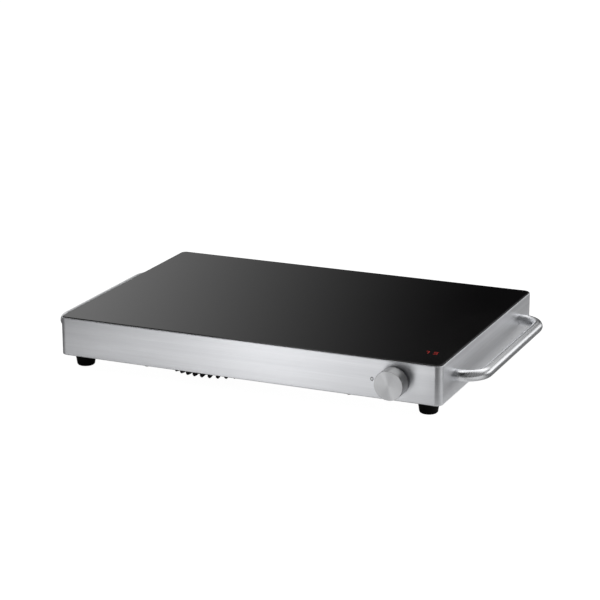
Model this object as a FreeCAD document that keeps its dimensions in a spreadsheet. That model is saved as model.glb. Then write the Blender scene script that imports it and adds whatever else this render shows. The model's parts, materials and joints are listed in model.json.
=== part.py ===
import FreeCAD, Part
import os
import re

import Sketcher

# Electric food warmer tray: a flat steel housing with a black glass plate on top, a handle at
# each end, a control knob in front, four rubber feet and a toothed air intake ring underneath.
# Millimetres. X runs left to right, Y front to back, Z up. The origin is on the table, under
# the middle of the whole object. Everything is drawn about the middle of the housing and then
# moved back by body_shift, because the knob stands further out than the inlet behind.

Vector = FreeCAD.Vector
Rotation = FreeCAD.Rotation

SIZES = [
    # Housing, folded from steel sheet
    ("body_length", 600, "housing from end wall to end wall"),
    ("body_depth", 405, "housing from front wall to rear wall"),
    ("shell_height", 57.5, "height of the steel walls"),
    ("corner_radius", 10, "outside radius of the upright corners"),
    ("wall", 1, "thickness of the steel sheet"),
    ("bend_radius", 1.6, "outside radius of the fold under the walls"),
    ("flange_width", 16, "width of the inward fold that the base is screwed to"),
    ("fit_gap", 0.1, "clearance between pieces that are nested and fixed"),
    # Glass and what it is bonded on
    ("glass_thickness", 4, "glass plate"),
    ("glass_proud", 1.6, "glass above the rim of the walls"),
    ("glass_gap", 0.8, "joint between the rim and the glass, filled by the seal"),
    ("glass_bevel", 0.8, "ground bevel round the top of the glass"),
    ("seal_thickness", 0.8, "silicone under the glass"),
    ("seal_width", 9, "silicone under the glass, from its edge inwards"),
    ("seal_drop", 0.7, "top of the silicone below the rim"),
    ("ledge_width", 14, "flat leg of the angle frame under the glass"),
    ("ledge_leg", 8, "upright leg of the angle frame"),
    ("ledge_thickness", 1.2, "sheet of the angle frame"),
    # Base plate, its screws and the feet
    ("base_thickness", 1, "base plate"),
    ("base_inset", 4, "edge of the base plate in from the walls"),
    ("base_screw_inset", 9.5, "line of the base screws in from the walls"),
    ("base_screw_pitch", 320, "distance between base screws along the front and rear"),
    ("small_screw", 4, "thread of the base, tray and fan screws"),
    ("small_head", 7, "heads of the small screws, across the flats"),
    ("small_head_height", 2.6, "heads of the small screws"),
    ("base_screw_length", 8, "base screws, without their heads"),
    ("screw_play", 0.3, "how much wider a screw's hole is than its thread"),
    ("screw_spare", 2, "screws past their nuts"),
    ("foot_height", 18.7, "rubber foot"),
    ("foot_inset", 27.5, "centre of each foot in from the walls"),
    ("foot_top", 31.5, "diameter of the foot at the base plate"),
    ("foot_bottom", 27.5, "diameter of the foot at the table"),
    ("foot_edge", 2.4, "rounding of the lower edge of the foot, in two slopes"),
    ("foot_recess", 14, "diameter of the screw recess in the foot"),
    ("foot_recess_depth", 9.5, "depth of the screw recess"),
    ("foot_screw", 5, "thread of the foot screws"),
    ("foot_head", 9.5, "heads of the foot screws, across the flats"),
    ("foot_head_height", 3.2, "heads of the foot screws"),
    ("foot_nut", 8, "nuts of the foot screws, across the flats"),
    ("foot_nut_height", 4, "nuts of the foot screws"),
    # Handles, bent from round tube
    ("tube_diameter", 16.8, "outside of the tube"),
    ("tube_wall", 1.5, "wall of the tube"),
    ("handle_reach", 36.7, "middle of the grip out from the end wall"),
    ("handle_bend", 32, "bend radius on the middle line of the tube"),
    ("handle_inset", 58.8, "middle of each handle leg in from the front and rear walls"),
    ("handle_rise", 29.4, "middle of the tube above the lower edge of the walls"),
    ("plug_length", 6, "threaded plug welded in each tube end"),
    ("handle_screw", 6, "thread of the handle screws"),
    ("handle_screw_grip", 5, "how far the handle screws go into the plugs"),
    ("handle_head", 11, "heads of the handle screws, across the flats"),
    ("handle_head_height", 4.5, "heads of the handle screws"),
    # Knob and selector
    ("knob_inset", 68.5, "axis of the knob in from the right-hand wall"),
    ("knob_rise", 29.2, "axis of the knob above the lower edge of the walls"),
    ("knob_diameter", 43, "turned metal knob"),
    ("knob_length", 22.8, "knob from back to face"),
    ("knob_gap", 1.7, "air between the knob and the wall"),
    ("knob_bevel", 0.9, "bevel round the face of the knob"),
    ("knob_skin", 3, "wall of the hollow behind the face"),
    ("knob_hollow", 14, "depth of the hollow"),
    ("knob_boss", 16, "diameter of the boss that grips the shaft"),
    ("boss_gap", 1.5, "air between the selector's bush and the boss"),
    ("knob_groove", 1.2, "width of the index groove at nine o'clock"),
    ("groove_length", 9, "length of the index groove"),
    ("groove_depth", 0.8, "depth of the index groove"),
    ("grub_screw", 3, "screw that clamps the knob to the shaft"),
    ("grub_rise", 4.5, "axis of the clamping screw out from the bush"),
    ("shaft_diameter", 6, "selector shaft"),
    ("shaft_play", 0.05, "running clearance round a shaft, on the radius"),
    ("shaft_flat", 1.5, "depth of the flat on the shaft"),
    ("shaft_reach", 19.5, "tip of the shaft out from the front wall"),
    ("shaft_seat", 9, "how far the shaft goes into the selector's case"),
    ("shaft_end_play", 0.5, "air behind the inner end of the shaft"),
    ("flat_start", 2, "start of the shaft's flat out from the bush"),
    ("bush_diameter", 9, "threaded bush of the selector"),
    ("bush_reach", 6, "end of the bush out from the front wall"),
    ("selector_diameter", 22, "case of the selector"),
    ("selector_length", 13, "depth of the selector's case"),
    ("nut_width", 14, "selector nut across its flats"),
    ("nut_thickness", 2.4, "selector nut"),
    ("washer_diameter", 18, "selector washer"),
    ("washer_thickness", 0.8, "selector washer"),
    ("tab_pitch", 5, "solder tabs of the selector, centre to centre"),
    ("tab_width", 2, "solder tabs of the selector"),
    ("tab_length", 8, "solder tabs of the selector, with their roots"),
    ("tab_root", 2, "stretch of each tab inside the selector's case"),
    ("tab_thickness", 1, "solder tabs of the selector"),
    ("bracket_side", 16, "bracket beside and below the axis of the knob"),
    ("bracket_thickness", 1, "sheet bracket that the selector clamps"),
    # Display behind the glass
    ("display_x", 268, "middle of the two digits, right of the middle of the housing"),
    ("display_inset", 52.5, "middle of the digits in from the front wall"),
    ("display_length", 25, "display module, left to right"),
    ("display_depth", 19, "display module, front to back"),
    ("display_height", 8, "display module, from board to glass"),
    ("board_thickness", 1.6, "circuit boards"),
    ("display_board_length", 42, "display board, left to right"),
    ("display_board_depth", 50, "display board, front to back"),
    ("post_height", 3, "spacers under the display board"),
    ("post_width", 6, "hexagonal spacers under both boards"),
    ("post_margin", 5, "spacers in from the edges of the display board"),
    # Air intake and fan
    ("intake_x", -78, "axis of the intake from the middle of the housing"),
    ("intake_y", -90, "axis of the intake from the middle of the housing"),
    ("grille_diameter", 203, "outside of the moulded intake ring"),
    ("grille_thickness", 3.5, "flat of the moulded ring"),
    ("grille_bore", 112, "opening inside the ring's flat"),
    ("rib_circle", 93.5, "radius of the circle of hanging ribs"),
    ("rib_length", 7, "rib along the radius"),
    ("rib_width", 6, "rib across the radius"),
    ("rib_drop", 10, "lowest point of the ribs under the base plate"),
    ("rib_slope", 2, "slope that rounds off the lower corners of a rib"),
    ("rib_count", 50, "ribs round the ring"),
    ("rib_turn", 5.9, "angle of the first rib"),
    ("guard_bar", 2.4, "bars of the finger guard"),
    ("guard_hub", 34, "plate in the middle of the guard"),
    ("guard_ring", 74, "round bar of the guard"),
    ("guard_spokes", 6, "spokes of the guard"),
    ("fan_width", 120, "square fan frame"),
    ("fan_height", 25, "fan frame"),
    ("fan_corner", 8, "corner radius of the fan frame"),
    ("fan_bore", 116, "duct of the fan"),
    ("fan_hole_pitch", 105, "distance between the fan's screw holes"),
    ("fan_hub", 40, "hub of the rotor"),
    ("fan_tip_gap", 1.2, "blade tips to duct"),
    ("fan_axle", 3, "axle of the rotor"),
    ("fan_arm", 5, "arms of the motor plate"),
    ("fan_screw_grip", 18, "fan screws in the frame"),
    ("blade_count", 7, "blades of the rotor"),
    ("blade_chord", 24, "width of a blade at its tip"),
    ("blade_root", 18, "width of a blade at the hub"),
    ("blade_thickness", 1.4, "thickness of a blade"),
    ("root_pitch", 42, "blade angle at the hub"),
    ("tip_pitch", 24, "blade angle at the tip"),
    ("motor_seat", 3, "plate that carries the fan's motor"),
    ("motor_plate", 38, "diameter of that plate"),
    ("rotor_gap", 1.5, "rotor to motor plate"),
    ("rotor_height", 15, "hub of the rotor"),
    ("rotor_skin", 1.5, "wall of the hub"),
    ("bearing_diameter", 9, "tube that holds the axle's bearing"),
    ("stator_diameter", 32, "winding inside the hub"),
    ("stator_height", 8, "winding inside the hub"),
    ("stator_gap", 1, "air between the winding and the motor plate"),
    # Induction coils, pressed up against the glass
    ("coil_offset", 125, "axis of each coil from the middle of the housing"),
    ("coil_diameter", 200, "flat winding"),
    ("coil_eye", 46, "opening in the middle of the winding"),
    ("coil_thickness", 5, "flat winding"),
    ("mica_thickness", 0.6, "sheet between winding and glass"),
    ("mica_margin", 3, "sheet beyond the winding"),
    ("carrier_diameter", 210, "aluminium disc under the winding"),
    ("carrier_thickness", 2, "aluminium disc under the winding"),
    ("ferrite_length", 52, "radial ferrite bar"),
    ("ferrite_width", 12, "radial ferrite bar"),
    ("ferrite_height", 4.5, "radial ferrite bar"),
    ("ferrite_start", 29, "inner end of each bar from the coil's axis"),
    ("ferrite_count", 8, "bars under each coil"),
    ("sensor_diameter", 9, "temperature sensor in the eye of the coil"),
    ("cushion_width", 12, "silicone cushions under the coil carriers"),
    ("cushion_height", 13.2, "silicone cushions under the coil carriers"),
    ("cushion_circle", 93, "radius of the circle of cushions"),
    ("tray_thickness", 1.2, "sheet bridge that carries the coils"),
    ("tray_inset", 58, "legs of the bridge in from the end walls"),
    ("tray_margin", 52.5, "bridge in from the front and rear walls"),
    ("tray_foot", 15, "feet of the bridge, outwards"),
    # Power electronics under the bridge
    ("power_x", 112, "middle of the power board"),
    ("power_y", 30, "middle of the power board"),
    ("power_length", 190, "power board, left to right"),
    ("power_depth", 150, "power board, front to back"),
    ("power_lift", 7, "spacers under the power board"),
    ("power_margin", 6, "spacers in from the board's edges"),
    ("sink_length", 62, "heat sink, left to right"),
    ("sink_depth", 110, "heat sink, front to back"),
    ("sink_height", 22, "heat sink"),
    ("sink_floor", 4, "solid floor of the heat sink"),
    ("fin_thickness", 1.6, "heat sink fins"),
    ("fin_count", 10, "heat sink fins"),
    ("transistor_thickness", 5, "power transistor"),
    ("transistor_width", 16, "power transistor"),
    ("transistor_height", 21, "power transistor"),
    ("transistor_pitch", 36, "power transistors, centre to centre"),
    ("capacitor_width", 15, "filter capacitor"),
    ("capacitor_length", 32, "filter capacitor"),
    ("capacitor_height", 20, "filter capacitor"),
    ("capacitor_inset", 16, "capacitors in from the right-hand end of the board"),
    ("capacitor_pitch", 40, "first to second capacitor, front to back"),
    ("capacitor_step", 24, "first to third capacitor, left to right"),
    ("choke_diameter", 34, "filter choke"),
    ("choke_bore", 14, "filter choke"),
    ("choke_height", 14, "filter choke"),
    ("choke_inset", 24, "choke in from the right-hand end of the board"),
    ("choke_y", 42, "choke behind the middle of the board"),
    # Inlet in the rear wall
    ("inlet_x", 205, "middle of the inlet"),
    ("inlet_rise", 28, "middle of the inlet above the lower edge of the walls"),
    ("inlet_length", 50, "flange of the inlet"),
    ("inlet_height", 23, "flange of the inlet"),
    ("inlet_flange", 3, "flange of the inlet"),
    ("inlet_corner", 4, "corner radius of the flange"),
    ("socket_length", 24.6, "mouth of the socket"),
    ("socket_height", 16.6, "mouth of the socket"),
    ("socket_depth", 17.5, "depth of the socket"),
    ("socket_wall", 1.4, "shroud round the socket"),
    ("socket_back", 3.5, "floor of the socket"),
    ("pin_width", 2, "contact pins"),
    ("pin_height", 4, "contact pins"),
    ("pin_spacing", 14, "live pin to neutral pin"),
    ("pin_row", 2, "rows of pins above and below the middle"),
    ("pin_bevel", 0.5, "bevel round the tips of the pins"),
    ("pin_recess", 5, "tips of the pins below the mouth"),
    ("tab_reach", 9, "solder tabs behind the socket"),
    ("inlet_screw", 3, "thread of the inlet screws"),
    ("countersink", 1.6, "depth of the countersunk heads of the inlet screws"),
    ("inlet_screw_reach", 7, "ends of the inlet screws in from the outside of the wall"),
    ("inlet_nut", 5.5, "nuts of the inlet screws, across the flats"),
    ("inlet_nut_height", 2.4, "nuts of the inlet screws"),
    ("inlet_screw_pitch", 40, "distance between the inlet screws"),
    ("stud_height", 12, "earth stud on the base plate"),
    ("stud_foot", 9, "diameter of the foot of the earth stud"),
    ("stud_foot_height", 2, "foot of the earth stud"),
    ("stud_offset", 40, "earth stud beside the inlet"),
    ("stud_inset", 44.5, "earth stud in from the rear wall"),
    # Air outlet slots in the rear wall
    ("slot_width", 3, "outlet slot"),
    ("slot_height", 26, "outlet slot"),
    ("slot_pitch", 9, "outlet slots, centre to centre"),
    ("slot_count", 14, "outlet slots"),
    ("slot_start", -60, "first outlet slot"),
    # Wiring
    ("lead_diameter", 2.6, "mains leads"),
    ("lead_run", 14, "first stretch of a lead from what it is soldered or screwed to"),
    ("lead_sag", 1, "slope of that first stretch"),
    ("lead_inset", 6, "solder joints of the leads in from the edge of the power board"),
    ("bend_share", 0.45, "share of the shorter run that each bend of a lead takes"),
]

PLACES = [
    ("half_length", "body_length / 2"),
    ("half_depth", "body_depth / 2"),
    ("inner_length", "body_length - 2 * wall"),
    ("inner_depth", "body_depth - 2 * wall"),
    ("inner_radius", "corner_radius - wall"),
    ("nested_length", "inner_length - 2 * fit_gap"),
    ("nested_depth", "inner_depth - 2 * fit_gap"),
    ("nested_radius", "inner_radius - fit_gap"),
    ("glass_length", "inner_length - 2 * glass_gap"),
    ("glass_depth", "inner_depth - 2 * glass_gap"),
    ("glass_radius", "inner_radius - glass_gap"),
    ("shell_bottom", "foot_height + base_thickness"),
    ("shell_top", "shell_bottom + shell_height"),
    ("glass_level", "shell_top + glass_proud"),
    ("glass_underside", "glass_level - glass_thickness"),
    ("ledge_level", "glass_underside - seal_thickness"),
    ("knob_x", "half_length - knob_inset"),
    ("knob_level", "shell_bottom + knob_rise"),
    ("knob_reach", "knob_gap + knob_length"),
    ("body_shift", "(knob_reach - inlet_flange) / 2"),
    ("front_face", "body_shift - half_depth"),
    ("rear_face", "body_shift + half_depth"),
    ("handle_level", "shell_bottom + handle_rise"),
    ("handle_half", "half_depth - handle_inset"),
    ("foot_x", "half_length - foot_inset"),
    ("foot_y", "half_depth - foot_inset"),
    ("base_screw_y", "half_depth - base_screw_inset"),
    ("selector_front", "wall + bracket_thickness"),
    ("display_y", "display_inset - half_depth"),
    ("board_level", "glass_underside - display_height - board_thickness"),
    ("shelf_level", "board_level - post_height"),
    ("fan_half", "fan_hole_pitch / 2"),
    ("blade_reach", "fan_bore / 2 - fan_tip_gap"),
    ("motor_level", "fan_height - motor_seat"),
    ("rotor_top", "motor_level - rotor_gap"),
    ("rotor_bottom", "rotor_top - rotor_height"),
    ("coil_level", "glass_underside - mica_thickness - coil_thickness"),
    ("carrier_level", "coil_level - carrier_thickness"),
    ("tray_level", "carrier_level - cushion_height"),
    ("tray_half", "half_length - tray_inset"),
    ("tray_depth", "body_depth - 2 * tray_margin"),
    ("power_level", "shell_bottom + power_lift"),
    ("power_top", "power_level + board_thickness"),
    ("power_post_x", "power_length / 2 - power_margin"),
    ("power_post_y", "power_depth / 2 - power_margin"),
    ("sink_x", "power_x - power_length / 2 + sink_length / 2 + 4 * power_margin"),
    ("inlet_level", "shell_bottom + inlet_rise"),
    ("stud_x", "inlet_x + stud_offset"),
    ("stud_y", "half_depth - stud_inset"),
    ("shroud_length", "socket_length + 2 * socket_wall"),
    ("shroud_height", "socket_height + 2 * socket_wall"),
    ("socket_floor", "inlet_flange - socket_depth"),
    ("shroud_end", "socket_floor - socket_back"),
]

doc = FreeCAD.newDocument("food_warmer_tray")
owner = {}


def fill_sheet(label, rows):
    """Writes named cells, one row each: the name, its number or formula, and a note."""
    sheet = doc.addObject("Spreadsheet::Sheet", label)
    for line, (name, content, *note) in enumerate(rows, 1):
        sheet.set("A%d" % line, name)
        sheet.set("B%d" % line, content if isinstance(content, str) else str(content))
        sheet.setAlias("B%d" % line, name)
        sheet.set("C%d" % line, note[0] if note else "")
        owner[name] = label
    doc.recompute()
    return sheet


def bind(formula):
    """Puts each named size of a formula into the words of its sheet."""
    return re.sub(r"[a-z_]+", lambda word: full_name(word.group()), formula)


def full_name(word):
    return owner[word] + "." + word if word in owner else word


sizes = fill_sheet("Sizes", SIZES)
owner.update((name, "Places") for name, formula in PLACES)
places = fill_sheet("Places", [(name, "=" + bind(formula)) for name, formula in PLACES])


def value(formula):
    """The number that a formula gives now."""
    return float(sizes.evalExpression(bind(formula)))


# Sketches, each drawn with its dimensions tied to the sheets


def new_body(label):
    body = doc.addObject("PartDesign::Body", label)
    body.Label = label
    return body


def add_sketch(body, plane="XY", offset="0"):
    """An empty sketch on one of the body's own planes, moved along its normal."""
    sketch = body.newObject("Sketcher::SketchObject", body.Label + "_outline")
    role = plane + "_Plane"
    support = next(item for item in body.Origin.OriginFeatures if item.Role == role)
    sketch.AttachmentSupport = [(support, "")]
    sketch.MapMode = "FlatFace"
    sketch.setExpression("AttachmentOffset.Base.z", bind(offset))
    return sketch


def tie(sketch, kind, where, formula):
    """Adds one dimension and ties it to a formula."""
    index = sketch.addConstraint(Sketcher.Constraint(kind, *where, value(formula)))
    sketch.setExpression("Constraints[%d]" % index, bind(formula))


def fix_point(sketch, edge, end, x, y):
    tie(sketch, "DistanceX", (-1, 1, edge, end), x)
    tie(sketch, "DistanceY", (-1, 1, edge, end), y)


def add_circle(sketch, diameter, x="0", y="0"):
    centre = Vector(value(x), value(y), 0)
    edge = sketch.addGeometry(Part.Circle(centre, Vector(0, 0, 1), value(diameter) / 2))
    tie(sketch, "Diameter", (edge,), diameter)
    fix_point(sketch, edge, 3, x, y)


def add_outline(sketch, corners):
    """A closed outline of straight edges through the corners."""
    points = [Vector(value(x), value(y), 0) for x, y in corners]
    edges = [sketch.addGeometry(Part.LineSegment(start, end))
             for start, end in zip(points, points[1:] + points[:1])]
    for edge, following in zip(edges, edges[1:] + edges[:1]):
        sketch.addConstraint(Sketcher.Constraint("Coincident", edge, 2, following, 1))
    for edge, (x, y) in zip(edges, corners):
        fix_point(sketch, edge, 1, x, y)


def add_box(sketch, length, depth, x="0", y="0"):
    """A rectangle about a point."""
    left, right = "(%s) - (%s) / 2" % (x, length), "(%s) + (%s) / 2" % (x, length)
    low, high = "(%s) - (%s) / 2" % (y, depth), "(%s) + (%s) / 2" % (y, depth)
    add_outline(sketch, [(left, low), (right, low), (right, high), (left, high)])


def add_rounded_box(sketch, length, depth, radius, x="0", y="0"):
    """A rectangle about a point, with four equal rounded corners that meet its sides smoothly."""
    cx, cy, r = value(x), value(y), value(radius)
    a, b = value(length) / 2, value(depth) / 2
    turns = [(1, -1, 3), (1, 1, 0), (-1, 1, 1), (-1, -1, 2)]
    quarter = value("pi / 2")
    arcs = []
    for side, end, start in turns:
        centre = Vector(cx + side * (a - r), cy + end * (b - r), 0)
        circle = Part.Circle(centre, Vector(0, 0, 1), r)
        arcs.append(sketch.addGeometry(Part.ArcOfCircle(circle, start * quarter, (start + 1) * quarter)))
    sides = []
    for arc, following in zip(arcs, arcs[1:] + arcs[:1]):
        start = sketch.Geometry[arc].EndPoint
        end = sketch.Geometry[following].StartPoint
        sides.append(sketch.addGeometry(Part.LineSegment(start, end)))
    for arc, line, following in zip(arcs, sides, arcs[1:] + arcs[:1]):
        sketch.addConstraint(Sketcher.Constraint("Tangent", arc, 2, line, 1))
        sketch.addConstraint(Sketcher.Constraint("Tangent", line, 2, following, 1))
    for line, kind in zip(sides, ("Vertical", "Horizontal", "Vertical", "Horizontal")):
        sketch.addConstraint(Sketcher.Constraint(kind, line))
    for arc in arcs[1:]:
        sketch.addConstraint(Sketcher.Constraint("Equal", arcs[0], arc))
    tie(sketch, "Radius", (arcs[0],), radius)
    tie(sketch, "DistanceX", (-1, 1, sides[0], 1), "(%s) + (%s) / 2" % (x, length))
    tie(sketch, "DistanceX", (-1, 1, sides[2], 1), "(%s) - (%s) / 2" % (x, length))
    tie(sketch, "DistanceY", (-1, 1, sides[1], 1), "(%s) + (%s) / 2" % (y, depth))
    tie(sketch, "DistanceY", (-1, 1, sides[3], 1), "(%s) - (%s) / 2" % (y, depth))


def settle(body, feature):
    body.Tip = feature
    doc.recompute()
    return feature


def volume(body):
    return body.Shape.Volume if body.Tip and not body.Shape.isNull() else 0.0


def pad(body, sketch, length, downwards=False, both=False):
    feature = body.newObject("PartDesign::Pad", body.Label + "_pad")
    feature.Profile = sketch
    feature.Reversed = downwards
    feature.SideType = "Symmetric" if both else "One side"
    feature.setExpression("Length", bind(length))
    return settle(body, feature)


def pocket(body, sketch, depth=None, forwards=False):
    """Cuts a sketch into the body, to a depth against its normal, or right through both ways."""
    before = volume(body)
    feature = body.newObject("PartDesign::Pocket", body.Label + "_pocket")
    feature.Profile = sketch
    feature.Reversed = forwards
    if depth is None:
        feature.Type = "ThroughAll"
        feature.SideType = "Symmetric"
    else:
        feature.setExpression("Length", bind(depth))
    settle(body, feature)
    if not volume(body) < before:
        raise ValueError(body.Label + ": a pocket takes nothing away")
    return feature


def revolve(body, corners):
    """Turns an outline of radii and heights about the body's Z axis."""
    sketch = add_sketch(body, "XZ")
    add_outline(sketch, corners)
    feature = body.newObject("PartDesign::Revolution", body.Label + "_turned")
    feature.Profile = sketch
    feature.ReferenceAxis = (sketch, ["V_Axis"])
    feature.Angle = 360
    return settle(body, feature)


def dress(body, kind, size, formula, wanted):
    """Rounds (Radius) or bevels (Size) the edges for which wanted(edge) is true."""
    base = body.Tip
    names = ["Edge%d" % number for number, edge in enumerate(base.Shape.Edges, 1) if wanted(edge)]
    feature = body.newObject("PartDesign::" + kind, body.Label + "_" + kind.lower())
    feature.Base = (base, names)
    feature.setExpression(size, bind(formula))
    return settle(body, feature)


def round_edges(body, radius, wanted):
    return dress(body, "Fillet", "Radius", radius, wanted)


def bevel_edges(body, size, wanted):
    return dress(body, "Chamfer", "Size", size, wanted)


def lies_at(height):
    """Tells whether an edge lies flat at a height."""
    level = value(height)
    return lambda edge: max(abs(edge.BoundBox.ZMin - level), abs(edge.BoundBox.ZMax - level)) < 0.001


def repeat_round(body, feature, count):
    """Repeats a feature round the body's Z axis."""
    pattern = body.newObject("PartDesign::PolarPattern", body.Label + "_ring")
    pattern.Originals = [feature]
    axis = next(item for item in body.Origin.OriginFeatures if item.Role == "Z_Axis")
    pattern.Axis = (axis, [""])
    pattern.Angle = 360
    pattern.setExpression("Occurrences", bind(count))
    return settle(body, pattern)


def repeat_along(body, feature, role, length, count):
    """Repeats a feature along one of the body's own axes."""
    pattern = body.newObject("PartDesign::LinearPattern", body.Label + "_row")
    pattern.Originals = [feature]
    axis = next(item for item in body.Origin.OriginFeatures if item.Role == role)
    pattern.Direction = (axis, [""])
    pattern.setExpression("Length", bind(length))
    pattern.setExpression("Occurrences", bind(count))
    return settle(body, pattern)


def repeat_mirrored(body, features, role):
    """Repeats features on the other side of one of the body's own planes."""
    mirror = body.newObject("PartDesign::Mirrored", body.Label + "_mirrored")
    mirror.Originals = features
    plane = next(item for item in body.Origin.OriginFeatures if item.Role == role)
    mirror.MirrorPlane = (plane, [""])
    return settle(body, mirror)


# Placing

UPRIGHT = Rotation()
TO_FRONT = Rotation(Vector(1, 0, 0), 90)
TO_REAR = Rotation(Vector(0, 0, 1), 180) * TO_FRONT
TO_RIGHT = Rotation(Vector(0, 1, 0), 90)
TO_LEFT = Rotation(Vector(0, 1, 0), -90)

subparts = []


def place(item, x="0", y="body_shift", z="0", turn=UPRIGHT):
    item.Placement = FreeCAD.Placement(Vector(value(x), value(y), value(z)), turn)
    for axis, formula in zip("xyz", (x, y, z)):
        item.setExpression("Placement.Base." + axis, bind(formula))
    return item


def finish(item, x="0", y="body_shift", z="0", turn=UPRIGHT):
    """Puts a finished sub-part in its place and lists it."""
    subparts.append(place(item, x, y, z, turn))
    return item


def make_group(label, pattern, spots, turn=UPRIGHT):
    """Identical pieces as one sub-part: a link to the pattern piece at each spot.

    A spot is three formulas, with a turn of its own as a fourth where it needs one.
    """
    links = []
    for x, y, z, *own_turn in spots:
        link = doc.addObject("App::Link", label + "_copy")
        link.LinkedObject = pattern
        links.append(place(link, x, y, z, own_turn[0] if own_turn else turn))
    group = doc.addObject("Part::Compound", label)
    group.Label = label
    group.Links = links
    return finish(group)


def minus(formula):
    return "-(%s)" % formula


def four_corners(x, y, z):
    return [(side_x, side_y, z) for side_x in (minus(x), x) for side_y in (minus(y), y)]


# Fasteners


def hexagon(width):
    """The corners of a hexagon about the origin, from its width across the flats."""
    flat = "(%s) / 2" % width
    tip = "(%s) / sqrt(3)" % width
    half_tip = "(%s) / 2" % tip
    return [
        ("0", tip),
        (minus(flat), half_tip),
        (minus(flat), minus(half_tip)),
        ("0", minus(tip)),
        (flat, minus(half_tip)),
        (flat, half_tip),
    ]


def make_post(label, width, height):
    """A plain hexagonal spacer on the XY plane."""
    body = new_body(label)
    sketch = add_sketch(body)
    add_outline(sketch, hexagon(width))
    pad(body, sketch, height)
    return body


def make_screw(label, thread, length, head, head_height):
    """A screw with a hexagon head below Z = 0 and its thread, a plain pin, above."""
    body = new_body(label)
    top = add_sketch(body)
    add_outline(top, hexagon(head))
    pad(body, top, head_height, downwards=True)
    pin = add_sketch(body)
    add_circle(pin, thread)
    pad(body, pin, length)
    return body


def make_ring(label, outside, inside, thickness):
    body = new_body(label)
    sketch = add_sketch(body)
    add_circle(sketch, outside)
    add_circle(sketch, inside)
    pad(body, sketch, thickness)
    return body


def make_disc(label, diameter, thickness):
    body = new_body(label)
    sketch = add_sketch(body)
    add_circle(sketch, diameter)
    pad(body, sketch, thickness)
    return body


def make_nut(label, width, hole, thickness):
    """A hexagon nut on the XY plane."""
    body = new_body(label)
    sketch = add_sketch(body)
    add_outline(sketch, hexagon(width))
    add_circle(sketch, hole)
    pad(body, sketch, thickness)
    return body


# Housing


def base_screw_spots(level):
    """Two screws along the front and two along the rear."""
    return four_corners("base_screw_pitch / 2", "base_screw_y", level)


def make_housing():
    """Walls with rounded corners, folded in underneath, with every hole they carry."""
    body = new_body("housing")
    sketch = add_sketch(body, "XY", "shell_bottom")
    add_rounded_box(sketch, "body_length", "body_depth", "corner_radius")
    pad(body, sketch, "shell_height")
    round_edges(body, "bend_radius", lies_at("shell_bottom"))
    block = body.Tip
    faces = block.Shape.Faces
    top = max(range(len(faces)), key=lambda number: faces[number].CenterOfMass.z)
    shell = body.newObject("PartDesign::Thickness", "housing_sheet")
    shell.Base = (block, ["Face%d" % (top + 1)])
    shell.setExpression("Value", bind("wall"))
    shell.Reversed = True
    settle(body, shell)
    opening = add_sketch(body, "XY", "shell_bottom + wall")
    add_rounded_box(opening, "body_length - 2 * flange_width", "body_depth - 2 * flange_width",
                    "corner_radius")
    pocket(body, opening, "2 * wall")
    holes = add_sketch(body, "XY", "shell_bottom + wall")
    for x, y, level in base_screw_spots("0"):
        add_circle(holes, "small_screw + screw_play", x, y)
    pocket(body, holes, "2 * wall")
    bush = add_sketch(body, "XZ", "half_depth")
    add_circle(bush, "bush_diameter + screw_play", "knob_x", "knob_level")
    pocket(body, bush, "2 * wall")
    handles = add_sketch(body, "YZ")
    add_circle(handles, "handle_screw + screw_play", "handle_half", "handle_level")
    add_circle(handles, "handle_screw + screw_play", minus("handle_half"), "handle_level")
    pocket(body, handles)
    inlet = add_sketch(body, "XZ", minus("half_depth"))
    add_box(inlet, "shroud_length + 2 * fit_gap", "shroud_height + 2 * fit_gap", "inlet_x", "inlet_level")
    for side in ("+", "-"):
        add_circle(inlet, "inlet_screw + screw_play",
                   "inlet_x %s inlet_screw_pitch / 2" % side, "inlet_level")
    pocket(body, inlet, "2 * wall", forwards=True)
    slot = add_sketch(body, "XZ", minus("half_depth"))
    add_box(slot, "slot_width", "slot_height", "slot_start", "inlet_level")
    first = pocket(body, slot, "2 * wall", forwards=True)
    repeat_along(body, first, "X_Axis", "slot_pitch * (slot_count - 1)", "slot_count")
    finish(body)


def make_glass_parts():
    """The glass, the silicone that bonds and seals it, and the angle frame underneath."""
    frame = new_body("glass_frame")
    flat = add_sketch(frame, "XY", "ledge_level")
    add_rounded_box(flat, "nested_length", "nested_depth", "nested_radius")
    add_rounded_box(flat, "inner_length - 2 * ledge_width", "inner_depth - 2 * ledge_width",
                    "nested_radius")
    pad(frame, flat, "ledge_thickness", downwards=True)
    leg = add_sketch(frame, "XY", "ledge_level")
    add_rounded_box(leg, "nested_length", "nested_depth", "nested_radius")
    add_rounded_box(leg, "nested_length - 2 * ledge_thickness", "nested_depth - 2 * ledge_thickness",
                    "nested_radius - ledge_thickness")
    pad(frame, leg, "ledge_leg", downwards=True)
    finish(frame)

    seal = new_body("glass_seal")
    bed = add_sketch(seal, "XY", "ledge_level")
    add_rounded_box(bed, "nested_length", "nested_depth", "nested_radius")
    add_rounded_box(bed, "glass_length - 2 * seal_width", "glass_depth - 2 * seal_width", "glass_radius")
    pad(seal, bed, "seal_thickness")
    lip = add_sketch(seal, "XY", "ledge_level")
    add_rounded_box(lip, "nested_length", "nested_depth", "nested_radius")
    add_rounded_box(lip, "glass_length + 2 * fit_gap", "glass_depth + 2 * fit_gap",
                    "glass_radius + fit_gap")
    pad(seal, lip, "shell_top - seal_drop - ledge_level")
    finish(seal)

    glass = new_body("glass_top")
    plate = add_sketch(glass, "XY", "glass_underside")
    add_rounded_box(plate, "glass_length", "glass_depth", "glass_radius")
    pad(glass, plate, "glass_thickness")
    bevel_edges(glass, "glass_bevel", lies_at("glass_level"))
    finish(glass)


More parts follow.
